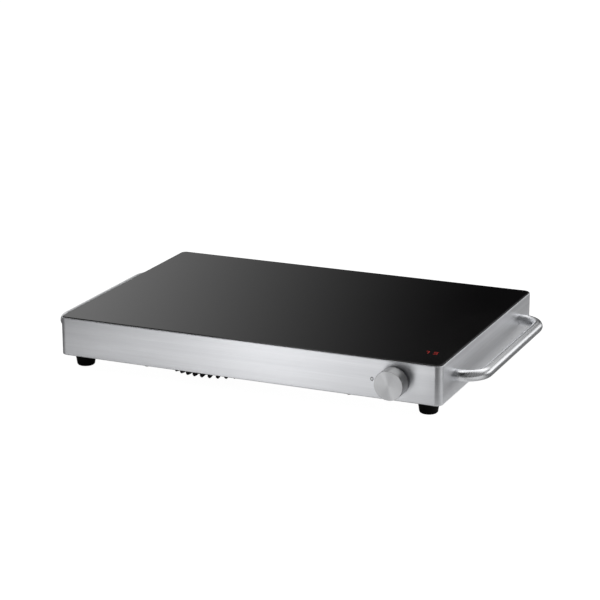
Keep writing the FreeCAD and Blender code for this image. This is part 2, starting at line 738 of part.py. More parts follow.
def make_base_plate():
    """The base plate, with the fan's opening and the holes of its screws."""
    body = new_body("base_plate")
    sketch = add_sketch(body, "XY", "foot_height")
    add_rounded_box(sketch, "body_length - 2 * base_inset", "body_depth - 2 * base_inset",
                    "corner_radius - base_inset / 2")
    pad(body, sketch, "base_thickness")
    holes = add_sketch(body, "XY", "foot_height")
    add_circle(holes, "grille_bore", "intake_x", "intake_y")
    for x, y, level in base_screw_spots("0"):
        add_circle(holes, "small_screw + screw_play", x, y)
    for x, y, level in four_corners("foot_x", "foot_y", "0"):
        add_circle(holes, "foot_screw + screw_play", x, y)
    for x, y, level in four_corners("fan_half", "fan_half", "0"):
        add_circle(holes, "small_screw + screw_play", "intake_x + %s" % x, "intake_y + %s" % y)
    pocket(body, holes)
    finish(body)
    screw = make_screw("base_screw_pattern", "small_screw", "base_screw_length",
                       "small_head", "small_head_height")
    make_group("base_screws", screw, base_screw_spots("foot_height"))


def make_feet():
    """Tapered rubber feet, each with a recess for the screw that holds it."""
    for end, side_x in (("left", "-foot_x"), ("right", "foot_x")):
        for row, side_y in (("front", "-foot_y"), ("rear", "foot_y")):
            body = new_body("foot_%s_%s" % (row, end))
            revolve(body, [
                ("foot_recess / 2", "0"),
                ("foot_bottom / 2 - foot_edge", "0"),
                ("foot_bottom / 2 - foot_edge / 4", "foot_edge / 4"),
                ("foot_bottom / 2", "foot_edge"),
                ("foot_top / 2", "foot_height"),
                ("(foot_screw + screw_play) / 2", "foot_height"),
                ("(foot_screw + screw_play) / 2", "foot_recess_depth"),
                ("foot_recess / 2", "foot_recess_depth"),
            ])
            finish(body, side_x, "body_shift + " + side_y)
    grip = "shell_bottom - foot_recess_depth + foot_nut_height + screw_spare"
    screw = make_screw("foot_screw_pattern", "foot_screw", grip, "foot_head", "foot_head_height")
    make_group("foot_screws", screw, four_corners("foot_x", "foot_y", "foot_recess_depth"))
    nut = make_nut("foot_nut_pattern", "foot_nut", "foot_screw + 2 * fit_gap", "foot_nut_height")
    make_group("foot_nuts", nut, four_corners("foot_x", "foot_y", "shell_bottom"))


# Handles


def make_handles():
    """Two handles bent from round tube, welded over threaded plugs and screwed on from inside."""
    for label, x, turn in (("handle_right", "half_length", UPRIGHT),
                           ("handle_left", "-half_length", Rotation(Vector(0, 0, 1), 180))):
        body = new_body(label)
        grip = add_sketch(body, "XZ")
        draw_tube(grip, "handle_reach")
        pad(body, grip, "2 * (handle_half - handle_bend)", both=True)
        leg = add_sketch(body, "YZ")
        draw_tube(leg, "-handle_half")
        straight = pad(body, leg, "handle_reach - handle_bend")
        section = add_sketch(body, "YZ", "handle_reach - handle_bend")
        draw_tube(section, "-handle_half")
        bend = turn_beside(body, section, "handle_bend - handle_half")
        repeat_mirrored(body, [straight, bend], "XZ_Plane")
        finish(body, x, "body_shift", "handle_level", turn)

    plug = new_body("handle_plug_pattern")
    sketch = add_sketch(plug, "YZ")
    add_circle(sketch, "tube_diameter - 2 * tube_wall - 2 * fit_gap")
    add_circle(sketch, "handle_screw + 2 * fit_gap")
    pad(plug, sketch, "plug_length")
    turned = Rotation(Vector(0, 0, 1), 180)
    ends = [("half_length", y, "handle_level", UPRIGHT) for y in ("-handle_half", "handle_half")] + \
           [("-half_length", y, "handle_level", turned) for y in ("-handle_half", "handle_half")]
    make_group("handle_plugs", plug, ends)
    screw = make_screw("handle_screw_pattern", "handle_screw", "wall + handle_screw_grip",
                       "handle_head", "handle_head_height")
    make_group("handle_screws", screw, handle_spots("half_length - wall"))


def draw_tube(sketch, x):
    """The section of the tube: a circle inside a circle."""
    add_circle(sketch, "tube_diameter", x)
    add_circle(sketch, "tube_diameter - 2 * tube_wall", x)


def turn_beside(body, sketch, x):
    """Turns a section by a right angle about an upright line of its own plane."""
    foot, top = Vector(value(x), 0, 0), Vector(value(x), value("tube_diameter"), 0)
    axis = sketch.addGeometry(Part.LineSegment(foot, top), True)
    fix_point(sketch, axis, 1, x, "0")
    fix_point(sketch, axis, 2, x, "tube_diameter")
    feature = body.newObject("PartDesign::Revolution", body.Label + "_bend")
    feature.Profile = sketch
    feature.ReferenceAxis = (sketch, ["Axis0"])
    feature.Angle = 90
    return settle(body, feature)


def handle_spots(x):
    """The four handle ends, each facing outwards through its end wall."""
    return [(x, y, "handle_level", TO_RIGHT) for y in ("-handle_half", "handle_half")] + \
           [(minus(x), y, "handle_level", TO_LEFT) for y in ("-handle_half", "handle_half")]


# Knob and selector. Their own Z axis points to the front, from the outside of the front wall.


def place_on_selector(body):
    finish(body, "knob_x", "front_face", "knob_level", TO_FRONT)


def make_knob():
    """A turned metal knob, hollow behind, with a boss for the shaft and an index groove."""
    body = new_body("knob")
    bore = "shaft_diameter / 2 + shaft_play"
    hollow_end = "knob_gap + knob_hollow"
    skin = "knob_diameter / 2 - knob_skin"
    revolve(body, [
        ("0", "shaft_reach + fit_gap"),
        (bore, "shaft_reach + fit_gap"),
        (bore, "bush_reach + boss_gap"),
        ("knob_boss / 2", "bush_reach + boss_gap"),
        ("knob_boss / 2", hollow_end),
        (skin, hollow_end),
        (skin, "knob_gap"),
        ("knob_diameter / 2", "knob_gap"),
        ("knob_diameter / 2", "knob_reach"),
        ("0", "knob_reach"),
    ])
    bevel_edges(body, "knob_bevel", lies_at("knob_reach"))
    groove = add_sketch(body, "XY", "knob_reach")
    add_box(groove, "4 * groove_depth", "knob_groove", minus("knob_diameter / 2 + groove_depth"))
    pocket(body, groove, "groove_length")
    hole = add_sketch(body, "XZ", "0")
    add_circle(hole, "grub_screw + 2 * fit_gap", "0", "bush_reach + grub_rise")
    pocket(body, hole, "knob_diameter", forwards=True)
    place_on_selector(body)

    grub = new_body("knob_screw")
    tip = "(shaft_diameter / 2 - shaft_flat + shaft_play)"
    sketch = add_sketch(grub, "XZ", tip)
    add_circle(sketch, "grub_screw", "0", "bush_reach + grub_rise")
    pad(grub, sketch, "knob_boss / 2 - %s" % tip)
    place_on_selector(grub)


def make_selector():
    """The rotary selector: a round case with a threaded bush, its shaft and its nut."""
    shaft = new_body("selector_shaft")
    back = "-(selector_front + shaft_seat)"
    sketch = add_sketch(shaft, "XY", back)
    add_circle(sketch, "shaft_diameter")
    pad(shaft, sketch, "shaft_reach - (%s)" % back)
    flat = add_sketch(shaft, "XY", "shaft_reach")
    add_box(flat, "shaft_diameter", "shaft_diameter", "0", "shaft_flat - shaft_diameter")
    pocket(shaft, flat, "shaft_reach - bush_reach - flat_start")
    place_on_selector(shaft)

    case = new_body("selector_body")
    bore = "shaft_diameter / 2 + shaft_play"
    revolve(case, [
        ("0", "-(selector_front + selector_length)"),
        ("selector_diameter / 2", "-(selector_front + selector_length)"),
        ("selector_diameter / 2", "-selector_front"),
        ("bush_diameter / 2", "-selector_front"),
        ("bush_diameter / 2", "bush_reach"),
        (bore, "bush_reach"),
        (bore, "-(selector_front + shaft_seat + shaft_end_play)"),
        ("0", "-(selector_front + shaft_seat + shaft_end_play)"),
    ])
    tabs = add_sketch(case, "XY", "-(selector_front + selector_length / 2)")
    for x in ("-tab_pitch", "0", "tab_pitch"):
        add_box(tabs, "tab_width", "tab_length", x,
                minus("selector_diameter / 2 + tab_length / 2 - tab_root"))
    pad(case, tabs, "tab_thickness")
    place_on_selector(case)

    washer = make_ring("selector_washer", "washer_diameter", "bush_diameter + screw_play",
                       "washer_thickness")
    place_on_selector(washer)
    nut = make_nut("selector_nut", "nut_width", "bush_diameter + 2 * fit_gap", "nut_thickness")
    finish(nut, "knob_x", "front_face - washer_thickness", "knob_level", TO_FRONT)


def make_display():
    """The display under the glass, on its board, on a bracket that the selector clamps."""
    bracket = new_body("control_bracket")
    front = "-(half_depth - wall)"
    back = "display_y + display_board_depth / 2"
    profile = add_sketch(bracket, "YZ", "knob_x - bracket_side")
    add_outline(profile, [
        (front, "knob_level - bracket_side"),
        ("%s + bracket_thickness" % front, "knob_level - bracket_side"),
        ("%s + bracket_thickness" % front, "shelf_level - bracket_thickness"),
        (back, "shelf_level - bracket_thickness"),
        (back, "shelf_level"),
        (front, "shelf_level"),
    ])
    pad(bracket, profile, "display_x + display_board_length / 2 - (knob_x - bracket_side)")
    hole = add_sketch(bracket, "XZ", "half_depth - wall")
    add_circle(hole, "bush_diameter + screw_play", "knob_x", "knob_level")
    pocket(bracket, hole, "2 * bracket_thickness")
    finish(bracket)

    board = new_body("display_board")
    sketch = add_sketch(board, "XY", "board_level")
    add_box(sketch, "display_board_length", "display_board_depth", "display_x", "display_y")
    pad(board, sketch, "board_thickness")
    finish(board)

    module = new_body("display_module")
    sketch = add_sketch(module, "XY", "board_level + board_thickness")
    add_box(sketch, "display_length", "display_depth", "display_x", "display_y")
    pad(module, sketch, "display_height")
    finish(module)

    post = make_post("display_post_pattern", "post_width", "post_height")
    across, along = "display_board_length / 2 - post_margin", "display_board_depth / 2 - post_margin"
    spots = [("display_x + (%s)" % x, "display_y + (%s)" % y, "shelf_level")
             for x, y, level in four_corners(across, along, "0")]
    make_group("display_posts", post, spots)


# Air intake and fan. Their own Z axis is the axis of the fan.


def make_intake_grille():
    """A moulded ring with a finger guard inside and a circle of hanging ribs underneath."""
    body = new_body("intake_grille")
    flat = add_sketch(body)
    add_circle(flat, "grille_diameter")
    add_circle(flat, "grille_bore")
    pad(body, flat, "grille_thickness", downwards=True)

    spoke = add_sketch(body)
    add_box(spoke, "grille_bore / 2", "guard_bar", "grille_bore / 4 + guard_bar / 2")
    first_spoke = pad(body, spoke, "grille_thickness", downwards=True)
    repeat_round(body, first_spoke, "guard_spokes")
    hub = add_sketch(body)
    add_circle(hub, "guard_hub")
    pad(body, hub, "grille_thickness", downwards=True)
    ring = add_sketch(body)
    add_circle(ring, "guard_ring - guard_bar")
    add_circle(ring, "guard_ring + guard_bar")
    pad(body, ring, "grille_thickness", downwards=True)

    tongue = add_sketch(body, "YZ", "rib_circle - rib_length / 2")
    half, slope = "rib_width / 2", "rib_slope"
    add_outline(tongue, [
        (minus(half), "0"),
        (minus(half), "%s - rib_drop" % slope),
        ("%s - %s" % (slope, half), "-rib_drop"),
        ("%s - %s" % (half, slope), "-rib_drop"),
        (half, "%s - rib_drop" % slope),
        (half, "0"),
    ])
    first_rib = pad(body, tongue, "rib_length")
    repeat_round(body, first_rib, "rib_count")

    holes = add_sketch(body)
    for x, y, level in four_corners("fan_half", "fan_half", "0"):
        turned_x = "(%s) * cos(rib_turn) + (%s) * sin(rib_turn)" % (x, y)
        turned_y = "(%s) * cos(rib_turn) - (%s) * sin(rib_turn)" % (y, x)
        add_circle(holes, "small_screw + screw_play", turned_x, turned_y)
    pocket(body, holes)
    turn = Rotation(Vector(0, 0, 1), value("rib_turn"))
    finish(body, "intake_x", "body_shift + intake_y", "foot_height", turn)
    body.setExpression("Placement.Rotation.Angle", bind("rib_turn"))


def place_on_fan(body):
    finish(body, "intake_x", "body_shift + intake_y", "shell_bottom")


def make_fan():
    """A square frame with its motor plate on four arms, the winding, and a bladed rotor."""
    frame = new_body("fan_frame")
    block = add_sketch(frame)
    add_rounded_box(block, "fan_width", "fan_width", "fan_corner")
    add_circle(block, "fan_bore")
    for x, y, level in four_corners("fan_half", "fan_half", "0"):
        add_circle(block, "small_screw + screw_play", x, y)
    pad(frame, block, "fan_height")
    arm = add_sketch(frame, "XY", "fan_height")
    add_box(arm, "(fan_bore + fan_width) / 2", "fan_arm")
    first_arm = pad(frame, arm, "motor_seat", downwards=True)
    repeat_round(frame, first_arm, "4")
    plate = add_sketch(frame, "XY", "fan_height")
    add_circle(plate, "motor_plate")
    pad(frame, plate, "motor_seat", downwards=True)
    tube = add_sketch(frame, "XY", "fan_height")
    add_circle(tube, "bearing_diameter")
    pad(frame, tube, "fan_height - rotor_bottom - 2 * rotor_skin", downwards=True)
    bore = add_sketch(frame, "XY", "motor_level + motor_seat / 2")
    add_circle(bore, "fan_axle + 2 * shaft_play")
    pocket(frame, bore, "fan_height")
    place_on_fan(frame)

    stator = make_ring("fan_stator", "stator_diameter", "bearing_diameter + 2 * fit_gap", "stator_height")
    finish(stator, "intake_x", "body_shift + intake_y",
           "shell_bottom + motor_level - stator_height - stator_gap")

    rotor = new_body("fan_rotor")
    revolve(rotor, [
        ("0", "rotor_bottom"),
        ("fan_hub / 2", "rotor_bottom"),
        ("fan_hub / 2", "rotor_top"),
        ("fan_hub / 2 - rotor_skin", "rotor_top"),
        ("fan_hub / 2 - rotor_skin", "rotor_bottom + rotor_skin"),
        ("fan_axle / 2", "rotor_bottom + rotor_skin"),
        ("fan_axle / 2", "motor_level"),
        ("0", "motor_level"),
    ])
    root = add_sketch(rotor, "YZ", "fan_hub / 2 - rotor_skin / 2")
    draw_blade_section(root, "root_pitch", "blade_root")
    tip = add_sketch(rotor, "YZ", "sqrt(blade_reach ^ 2 - (blade_chord / 2) ^ 2)")
    draw_blade_section(tip, "tip_pitch", "blade_chord")
    blade = rotor.newObject("PartDesign::AdditiveLoft", "fan_rotor_blade")
    blade.Profile = root
    blade.Sections = [tip]
    blade.Ruled = True
    settle(rotor, blade)
    repeat_round(rotor, blade, "blade_count")
    place_on_fan(rotor)

    grip = "grille_thickness + base_thickness + fan_screw_grip"
    screw = make_screw("fan_screw_pattern", "small_screw", grip, "small_head", "small_head_height")
    spots = [("intake_x + " + x, "intake_y + " + y, "foot_height - grille_thickness")
             for x, y, level in four_corners("fan_half", "fan_half", "0")]
    make_group("fan_screws", screw, spots)


def draw_blade_section(sketch, pitch, chord):
    """A thin strip, tilted by the pitch angle about the middle of the hub's height."""
    corners = []
    for along, across in ((-1, -1), (1, -1), (1, 1), (-1, 1)):
        run = "(%s) * %s / 2" % (chord, along)
        rise = "blade_thickness * %s / 2" % across
        corners.append((
            "(%s) * cos(%s) - (%s) * sin(%s)" % (run, pitch, rise, pitch),
            "(rotor_bottom + rotor_top) / 2 + (%s) * sin(%s) + (%s) * cos(%s)" % (run, pitch, rise, pitch),
        ))
    add_outline(sketch, corners)


# Induction coils on their bridge


def make_coils():
    """Each coil: mica against the glass, winding, carrier disc, ferrite bars and sensor."""
    ferrite = new_body("ferrite_pattern")
    bar = add_sketch(ferrite)
    add_box(bar, "ferrite_length", "ferrite_width", "ferrite_start + ferrite_length / 2")
    pad(ferrite, bar, "ferrite_height", downwards=True)
    for end, x in (("left", "-coil_offset"), ("right", "coil_offset")):
        mica = make_disc("mica_sheet_" + end, "coil_diameter + 2 * mica_margin", "mica_thickness")
        finish(mica, x, "body_shift", "glass_underside - mica_thickness")
        winding = make_ring("coil_winding_" + end, "coil_diameter", "coil_eye", "coil_thickness")
        finish(winding, x, "body_shift", "coil_level")
        carrier = make_disc("coil_carrier_" + end, "carrier_diameter", "carrier_thickness")
        finish(carrier, x, "body_shift", "carrier_level")
        sensor = make_disc("glass_sensor_" + end, "sensor_diameter", "coil_thickness")
        finish(sensor, x, "body_shift", "coil_level")
        count = round(value("ferrite_count"))
        turns = [Rotation(Vector(0, 0, 1), 360 * (k + 0.5) / count) for k in range(count)]
        make_group("ferrites_" + end, ferrite, [(x, "0", "carrier_level", turn) for turn in turns])


def make_coil_tray():
    """A sheet bridge over the electronics, with the coils on silicone cushions on top of it."""
    body = new_body("coil_tray")
    profile = add_sketch(body, "XZ")
    outer, inner = "tray_half", "(tray_half - tray_thickness)"
    foot, top = "(tray_half + tray_foot)", "tray_level"
    floor, sole = "shell_bottom", "(shell_bottom + tray_thickness)"
    half = [(inner, floor), (foot, floor), (foot, sole), (outer, sole), (outer, top)]
    mirrored = [(minus(x), z) for x, z in reversed(half)]
    ceiling = "tray_level - tray_thickness"
    add_outline(profile, half + mirrored + [(minus(inner), ceiling), (inner, ceiling)])
    pad(body, profile, "tray_depth", both=True)
    finish(body)
    cushion = new_body("cushion_pattern")
    block = add_sketch(cushion)
    add_box(block, "cushion_width", "cushion_width")
    pad(cushion, block, "cushion_height")
    reach = "cushion_circle * sqrt(2) / 2"
    spots = [("%s + %s" % (coil, x), y, z) for coil in ("-coil_offset", "coil_offset")
             for x, y, z in four_corners(reach, reach, "tray_level")]
    make_group("coil_cushions", cushion, spots)


# Power electronics


def make_power_board():
    """The power board on its spacers, with heat sink, transistors, capacitors and choke."""
    board = new_body("power_board")
    sketch = add_sketch(board, "XY", "power_level")
    add_box(sketch, "power_length", "power_depth", "power_x", "power_y")
    pad(board, sketch, "board_thickness")
    finish(board)
    post = make_post("power_post_pattern", "post_width", "power_lift")
    spots = [("power_x + " + x, "power_y + " + y, "shell_bottom")
             for x, y, level in four_corners("power_post_x", "power_post_y", "0")]
    make_group("board_posts", post, spots)

    sink = new_body("heat_sink")
    floor = add_sketch(sink)
    add_box(floor, "sink_length", "sink_depth")
    pad(sink, floor, "sink_floor")
    fin = add_sketch(sink)
    add_box(fin, "fin_thickness", "sink_depth", "(fin_thickness - sink_length) / 2")
    first = pad(sink, fin, "sink_height")
    repeat_along(sink, first, "X_Axis", "sink_length - fin_thickness", "fin_count")
    finish(sink, "sink_x", "body_shift + power_y", "power_top")

    transistor = new_body("transistor_pattern")
    sketch = add_sketch(transistor)
    add_box(sketch, "transistor_thickness", "transistor_width")
    pad(transistor, sketch, "transistor_height")
    beside = "sink_x + sink_length / 2 + transistor_thickness / 2"
    spots = [(beside, "power_y + (%s)" % y, "power_top")
             for y in ("-transistor_pitch", "0", "transistor_pitch")]
    make_group("power_transistors", transistor, spots)

    capacitor = new_body("capacitor_pattern")
    sketch = add_sketch(capacitor)
    add_box(sketch, "capacitor_width", "capacitor_length")
    pad(capacitor, sketch, "capacitor_height")
    right = "power_x + power_length / 2 - capacitor_inset"
    spots = [
        (right, "power_y - capacitor_pitch", "power_top"),
        (right, "power_y", "power_top"),
        (right + " - capacitor_step", "power_y - capacitor_pitch", "power_top"),
    ]
    make_group("filter_capacitors", capacitor, spots)

    choke = make_ring("filter_choke", "choke_diameter", "choke_bore", "choke_height")
    finish(choke, "power_x + power_length / 2 - choke_inset", "body_shift + power_y + choke_y", "power_top")


# Inlet. Its own Z axis points out of the rear wall, from the wall's outside.


def place_on_inlet(body):
    finish(body, "inlet_x", "rear_face", "inlet_level", TO_REAR)


def pin_spots():
    """Earth in the upper row, live and neutral in the lower row."""
    return [("0", "pin_row"), ("-pin_spacing / 2", "-pin_row"), ("pin_spacing / 2", "-pin_row")]


def make_inlet():
    """An appliance inlet with three contact pins, held by two screws with nuts inside."""
    socket = new_body("inlet_socket")
    flange = add_sketch(socket)
    add_rounded_box(flange, "inlet_length", "inlet_height", "inlet_corner")
    pad(socket, flange, "inlet_flange")
    shroud = add_sketch(socket, "XY", "shroud_end")
    add_box(shroud, "shroud_length", "shroud_height")
    pad(socket, shroud, "inlet_flange - shroud_end")
    mouth = add_sketch(socket, "XY", "inlet_flange")
    add_box(mouth, "socket_length", "socket_height")
    pocket(socket, mouth, "socket_depth")
    holes = add_sketch(socket, "XY", "inlet_flange")
    for x in ("-inlet_screw_pitch / 2", "inlet_screw_pitch / 2"):
        add_circle(holes, "inlet_screw + screw_play", x)
    pocket(socket, holes)
    rim = lies_at("inlet_flange")
    bevel_edges(socket, "countersink", lambda edge: rim(edge) and edge.isClosed())
    slits = add_sketch(socket, "XY", "socket_floor")
    for x, y in pin_spots():
        add_box(slits, "pin_width + 2 * fit_gap", "pin_height + 2 * fit_gap", x, y)
    pocket(socket, slits, "2 * socket_back")
    place_on_inlet(socket)

    pin = new_body("pin_pattern")
    sketch = add_sketch(pin, "XY", "shroud_end - tab_reach")
    add_box(sketch, "pin_width", "pin_height")
    pad(pin, sketch, "inlet_flange - pin_recess - (shroud_end - tab_reach)")
    bevel_edges(pin, "pin_bevel", lies_at("inlet_flange - pin_recess"))
    make_group("inlet_pins", pin, [("inlet_x - (%s)" % x, "half_depth", "inlet_level + (%s)" % y)
                                   for x, y in pin_spots()], TO_REAR)

    inlet_ends = [("inlet_x %s inlet_screw_pitch / 2" % side) for side in ("-", "+")]
    screw = new_body("inlet_screw_pattern")
    revolve(screw, [
        ("0", "inlet_flange - fit_gap"),
        ("inlet_screw / 2 + countersink - 2 * fit_gap", "inlet_flange - fit_gap"),
        ("inlet_screw / 2", "inlet_flange - countersink"),
        ("inlet_screw / 2", "-inlet_screw_reach"),
        ("0", "-inlet_screw_reach"),
    ])
    make_group("inlet_screws", screw, [(x, "half_depth", "inlet_level") for x in inlet_ends], TO_REAR)
    nut = make_nut("inlet_nut_pattern", "inlet_nut", "inlet_screw + 2 * fit_gap", "inlet_nut_height")
    inside = "half_depth - wall - inlet_nut_height"
    make_group("inlet_nuts", nut, [(x, inside, "inlet_level") for x in inlet_ends], TO_REAR)

    stud = new_body("earth_stud")
    revolve(stud, [
        ("0", "0"),
        ("stud_foot / 2", "0"),
        ("stud_foot / 2", "stud_foot_height"),
        ("small_screw / 2", "stud_foot_height"),
        ("small_screw / 2", "stud_height"),
        ("0", "stud_height"),
    ])
    finish(stud, "stud_x", "body_shift + stud_y", "shell_bottom")


# Wiring inside the housing


def make_lead(label, corners, sides=6):
    """A six-sided lead: straight runs joined by smooth bends along the corners of its route."""
    points = [Vector(*(value(formula) for formula in corner)) for corner in corners]
    edges = []
    start = points[0]
    for before, corner, after in zip(points, points[1:], points[2:]):
        arriving, leaving = corner - before, after - corner
        turn = arriving.getAngle(leaving)
        shorter = min(arriving.Length, leaving.Length)
        cut = value("bend_share") * shorter
        arriving.normalize()
        leaving.normalize()
        first, last = corner - arriving * cut, corner + leaving * cut
        middle_line = leaving - arriving
        middle_line.normalize()
        radius = cut / value("tan(%.9f rad)" % (turn / 2))
        sagitta = radius * (1 / value("cos(%.9f rad)" % (turn / 2)) - 1)
        edges.append(Part.LineSegment(start, first).toShape())
        edges.append(Part.Arc(first, corner + middle_line * sagitta, last).toShape())
        start = last
    edges.append(Part.LineSegment(start, points[-1]).toShape())
    route = Part.Wire(edges)
    direction = points[1] - points[0]
    across = direction.cross(Vector(1, 0, 0)).normalize() * value("lead_diameter") / 2
    ring = Part.makePolygon([points[0] + Rotation(direction, 360 * k / sides).multVec(across)
                             for k in range(sides + 1)])
    item = doc.addObject("Part::Feature", label)
    item.Label = label
    item.Shape = route.makePipeShell([ring], True, True)
    return finish(item)


def make_wiring():
    """Leads from the inlet to the power board and to the earth stud."""
    tabs = "half_depth + shroud_end - tab_reach"
    for name, shift in (("live_lead", "-pin_spacing / 2"), ("neutral_lead", "pin_spacing / 2")):
        x = "inlet_x + (%s)" % shift
        make_lead(name, [
            (x, tabs, "inlet_level - pin_row"),
            (x, tabs + " - lead_run", "inlet_level - pin_row - lead_sag"),
            (x, "power_y + power_depth / 2 - lead_inset", "power_top + lead_run"),
            (x, "power_y + power_depth / 2 - lead_inset", "power_top"),
        ])
    make_lead("earth_lead", [
        ("inlet_x", tabs, "inlet_level + pin_row"),
        ("inlet_x", "stud_y", "inlet_level + pin_row + lead_sag"),
        ("stud_x", "stud_y", "shell_bottom + stud_height + lead_run"),
        ("stud_x", "stud_y", "shell_bottom + stud_height"),
    ])


def build():
    make_housing()
    make_glass_parts()
    make_base_plate()
    make_feet()
    make_handles()
    make_knob()
    make_selector()
    make_display()
    make_intake_grille()
    make_fan()
    make_coils()
    make_coil_tray()
    make_power_board()
    make_inlet()
    make_wiring()
    doc.recompute()


def check_and_export():
    """Stops on any failed object, then writes each sub-part to its own file."""
    for item in doc.Objects:
        if "Invalid" in item.State or "Error" in item.State:
            raise ValueError(item.Label + " failed: " + ", ".join(item.State))
    for item in subparts:
        if item.Shape.isNull() or not item.Shape.isValid():
            raise ValueError(item.Label + " has no valid shape")
    os.makedirs("parts", exist_ok=True)
    for item in subparts:
        item.Shape.exportStep(os.path.join("parts", item.Label + ".step"))
        print(item.Label, len(item.Shape.Solids), round(item.Shape.Volume))


build()
check_and_export()
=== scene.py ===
# %% [markdown]
# An electric food warmer tray: a flat steel box under one sheet of black glass, with a bent tube
# handle at each end and a turned metal knob in front. The measured frame is loaded first. It holds
# every piece at its real size and place, so nothing here has to be fitted by eye.

# %% Load the measured frame
import json
import math

import bmesh
import bpy
from mathutils import Matrix, Vector


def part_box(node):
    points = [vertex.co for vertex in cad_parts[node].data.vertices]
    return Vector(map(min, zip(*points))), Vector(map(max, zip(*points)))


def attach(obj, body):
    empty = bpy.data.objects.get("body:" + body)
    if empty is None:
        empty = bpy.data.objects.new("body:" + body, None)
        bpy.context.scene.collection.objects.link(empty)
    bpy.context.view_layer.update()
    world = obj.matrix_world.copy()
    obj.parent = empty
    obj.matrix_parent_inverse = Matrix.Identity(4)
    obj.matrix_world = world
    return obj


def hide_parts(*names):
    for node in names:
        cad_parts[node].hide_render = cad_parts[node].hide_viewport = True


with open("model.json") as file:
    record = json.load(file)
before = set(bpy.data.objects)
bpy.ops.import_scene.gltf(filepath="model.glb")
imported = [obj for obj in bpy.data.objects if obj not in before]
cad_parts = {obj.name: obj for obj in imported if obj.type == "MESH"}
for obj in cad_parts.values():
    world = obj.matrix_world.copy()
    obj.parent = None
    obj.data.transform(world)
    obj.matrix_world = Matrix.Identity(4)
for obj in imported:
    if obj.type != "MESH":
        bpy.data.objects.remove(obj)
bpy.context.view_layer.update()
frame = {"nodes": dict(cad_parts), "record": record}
nodes = frame["nodes"]

# %% [markdown]
# The photograph was taken from the right of the front, a little above, through a long lens. The
# camera's place and turns were worked out from the straight edges of the housing. A long lens far
# away keeps those edges almost parallel, as they are in the photograph.

# %% Camera
CAMERA_PLACE = (1.2135, -2.7449, 0.9729)
CAMERA_TURN = math.radians(23.769)
CAMERA_TILT = math.radians(16.45)
CAMERA_ROLL = math.radians(-0.159)
LENS = 124.97
SENSOR = 36.0

camera_data = bpy.data.cameras.new("camera")
camera_data.lens = LENS
camera_data.sensor_width = SENSOR
camera = bpy.data.objects.new("camera", camera_data)
bpy.context.collection.objects.link(camera)
facing = (Matrix.Rotation(CAMERA_TURN, 4, "Z")
          @ Matrix.Rotation(math.pi / 2 - CAMERA_TILT, 4, "X")
          @ Matrix.Rotation(CAMERA_ROLL, 4, "Z"))
camera.matrix_world = Matrix.Translation(CAMERA_PLACE) @ facing
scene = bpy.context.scene
scene.camera = camera
scene.view_settings.view_transform = "Standard"
print("camera", CAMERA_PLACE, "lens", LENS)

# %% [markdown]
# Materials are node trees. These small helpers add a node, join two sockets and start a new
# material with its main shader, so that each finish below reads as a short recipe.

# %% Helpers for nodes


def add_node(tree, kind, **settings):
    """A shader node. A setting names one of its sockets or one of its properties."""
    node = tree.nodes.new("ShaderNode" + kind)
    for name, setting in settings.items():
        if name in node.inputs:
            node.inputs[name].default_value = setting
        else:
            setattr(node, name, setting)
    return node


def join(tree, source, target):
    tree.links.new(source, target)


def new_material(name, **settings):
    """A material with its principled shader, set by the names of its sockets."""
    material = bpy.data.materials.new(name)
    material.use_nodes = True
    tree = material.node_tree
    shader = tree.nodes["Principled BSDF"]
    for socket, setting in settings.items():
        shader.inputs[socket.replace("_", " ")].default_value = setting
    return material, tree, shader


# %% [markdown]
# A real surface is never one flat colour, so every finish is driven by a pattern. Patterns read
# Object coordinates: every piece keeps its object at the origin, so one metre of pattern is one
# metre of object. A ramp turns a pattern into the range of numbers that a socket needs.

# %% Helpers for patterns


def object_pattern(tree, stretch=(1, 1, 1)):
    """Object coordinates, stretched so that a pattern runs along an axis."""
    place = add_node(tree, "TexCoord")
    mapping = add_node(tree, "Mapping", Scale=stretch)
    join(tree, place.outputs["Object"], mapping.inputs["Vector"])
    return mapping.outputs["Vector"]


def noise(tree, vector, scale, detail=3.0, roughness=0.5):
    node = add_node(tree, "TexNoise", Scale=scale, Detail=detail, Roughness=roughness)
    join(tree, vector, node.inputs["Vector"])
    return node.outputs["Fac"]


def ramp(tree, factor, low, high, start=0.0, end=1.0):
    """Runs from low to high while the factor runs from start to end."""
    node = add_node(tree, "MapRange")
    node.inputs["From Min"].default_value = start
    node.inputs["From Max"].default_value = end
    node.inputs["To Min"].default_value = low
    node.inputs["To Max"].default_value = high
    join(tree, factor, node.inputs["Value"])
    return node.outputs["Result"]


def combine(tree, operation, first, second):
    """Works out one number from two patterns, or from a pattern and a plain number."""
    node = add_node(tree, "Math", operation=operation)
    join(tree, first, node.inputs[0])
    if isinstance(second, float):
        node.inputs[1].default_value = second
    else:
        join(tree, second, node.inputs[1])
    return node.outputs[0]


def blend_colours(tree, factor, first, second):
    node = add_node(tree, "Mix", data_type="RGBA")
    node.inputs[6].default_value = (*first, 1)
    node.inputs[7].default_value = (*second, 1)
    join(tree, factor, node.inputs[0])
    return node.outputs[2]


def add_bump(tree, height, shader, strength, distance):
    node = add_node(tree, "Bump", Strength=strength, Distance=distance)
    join(tree, height, node.inputs["Height"])
    join(tree, node.outputs["Normal"], shader.inputs["Normal"])


# %% [markdown]
# The housing is steel that a belt of abrasive has brushed along its length. Up close that is
# thousands of fine scratches, each a few centimetres long and a fraction of a millimetre wide. Here
# noise is stretched about eighty times along the length, and it drives the colour, the roughness
# and a little bump. The highlight of such a surface spreads across the scratches, which is what the
# anisotropic setting does. The handles are polished smoother, so their reflections are clearer.

# %% Brushed and polished steel
FINE_SCRATCHES = 900.0
BROAD_SCRATCHES = 130.0
BRUSH_STRETCH = 0.012
SCRATCH_HEIGHT = 0.0002


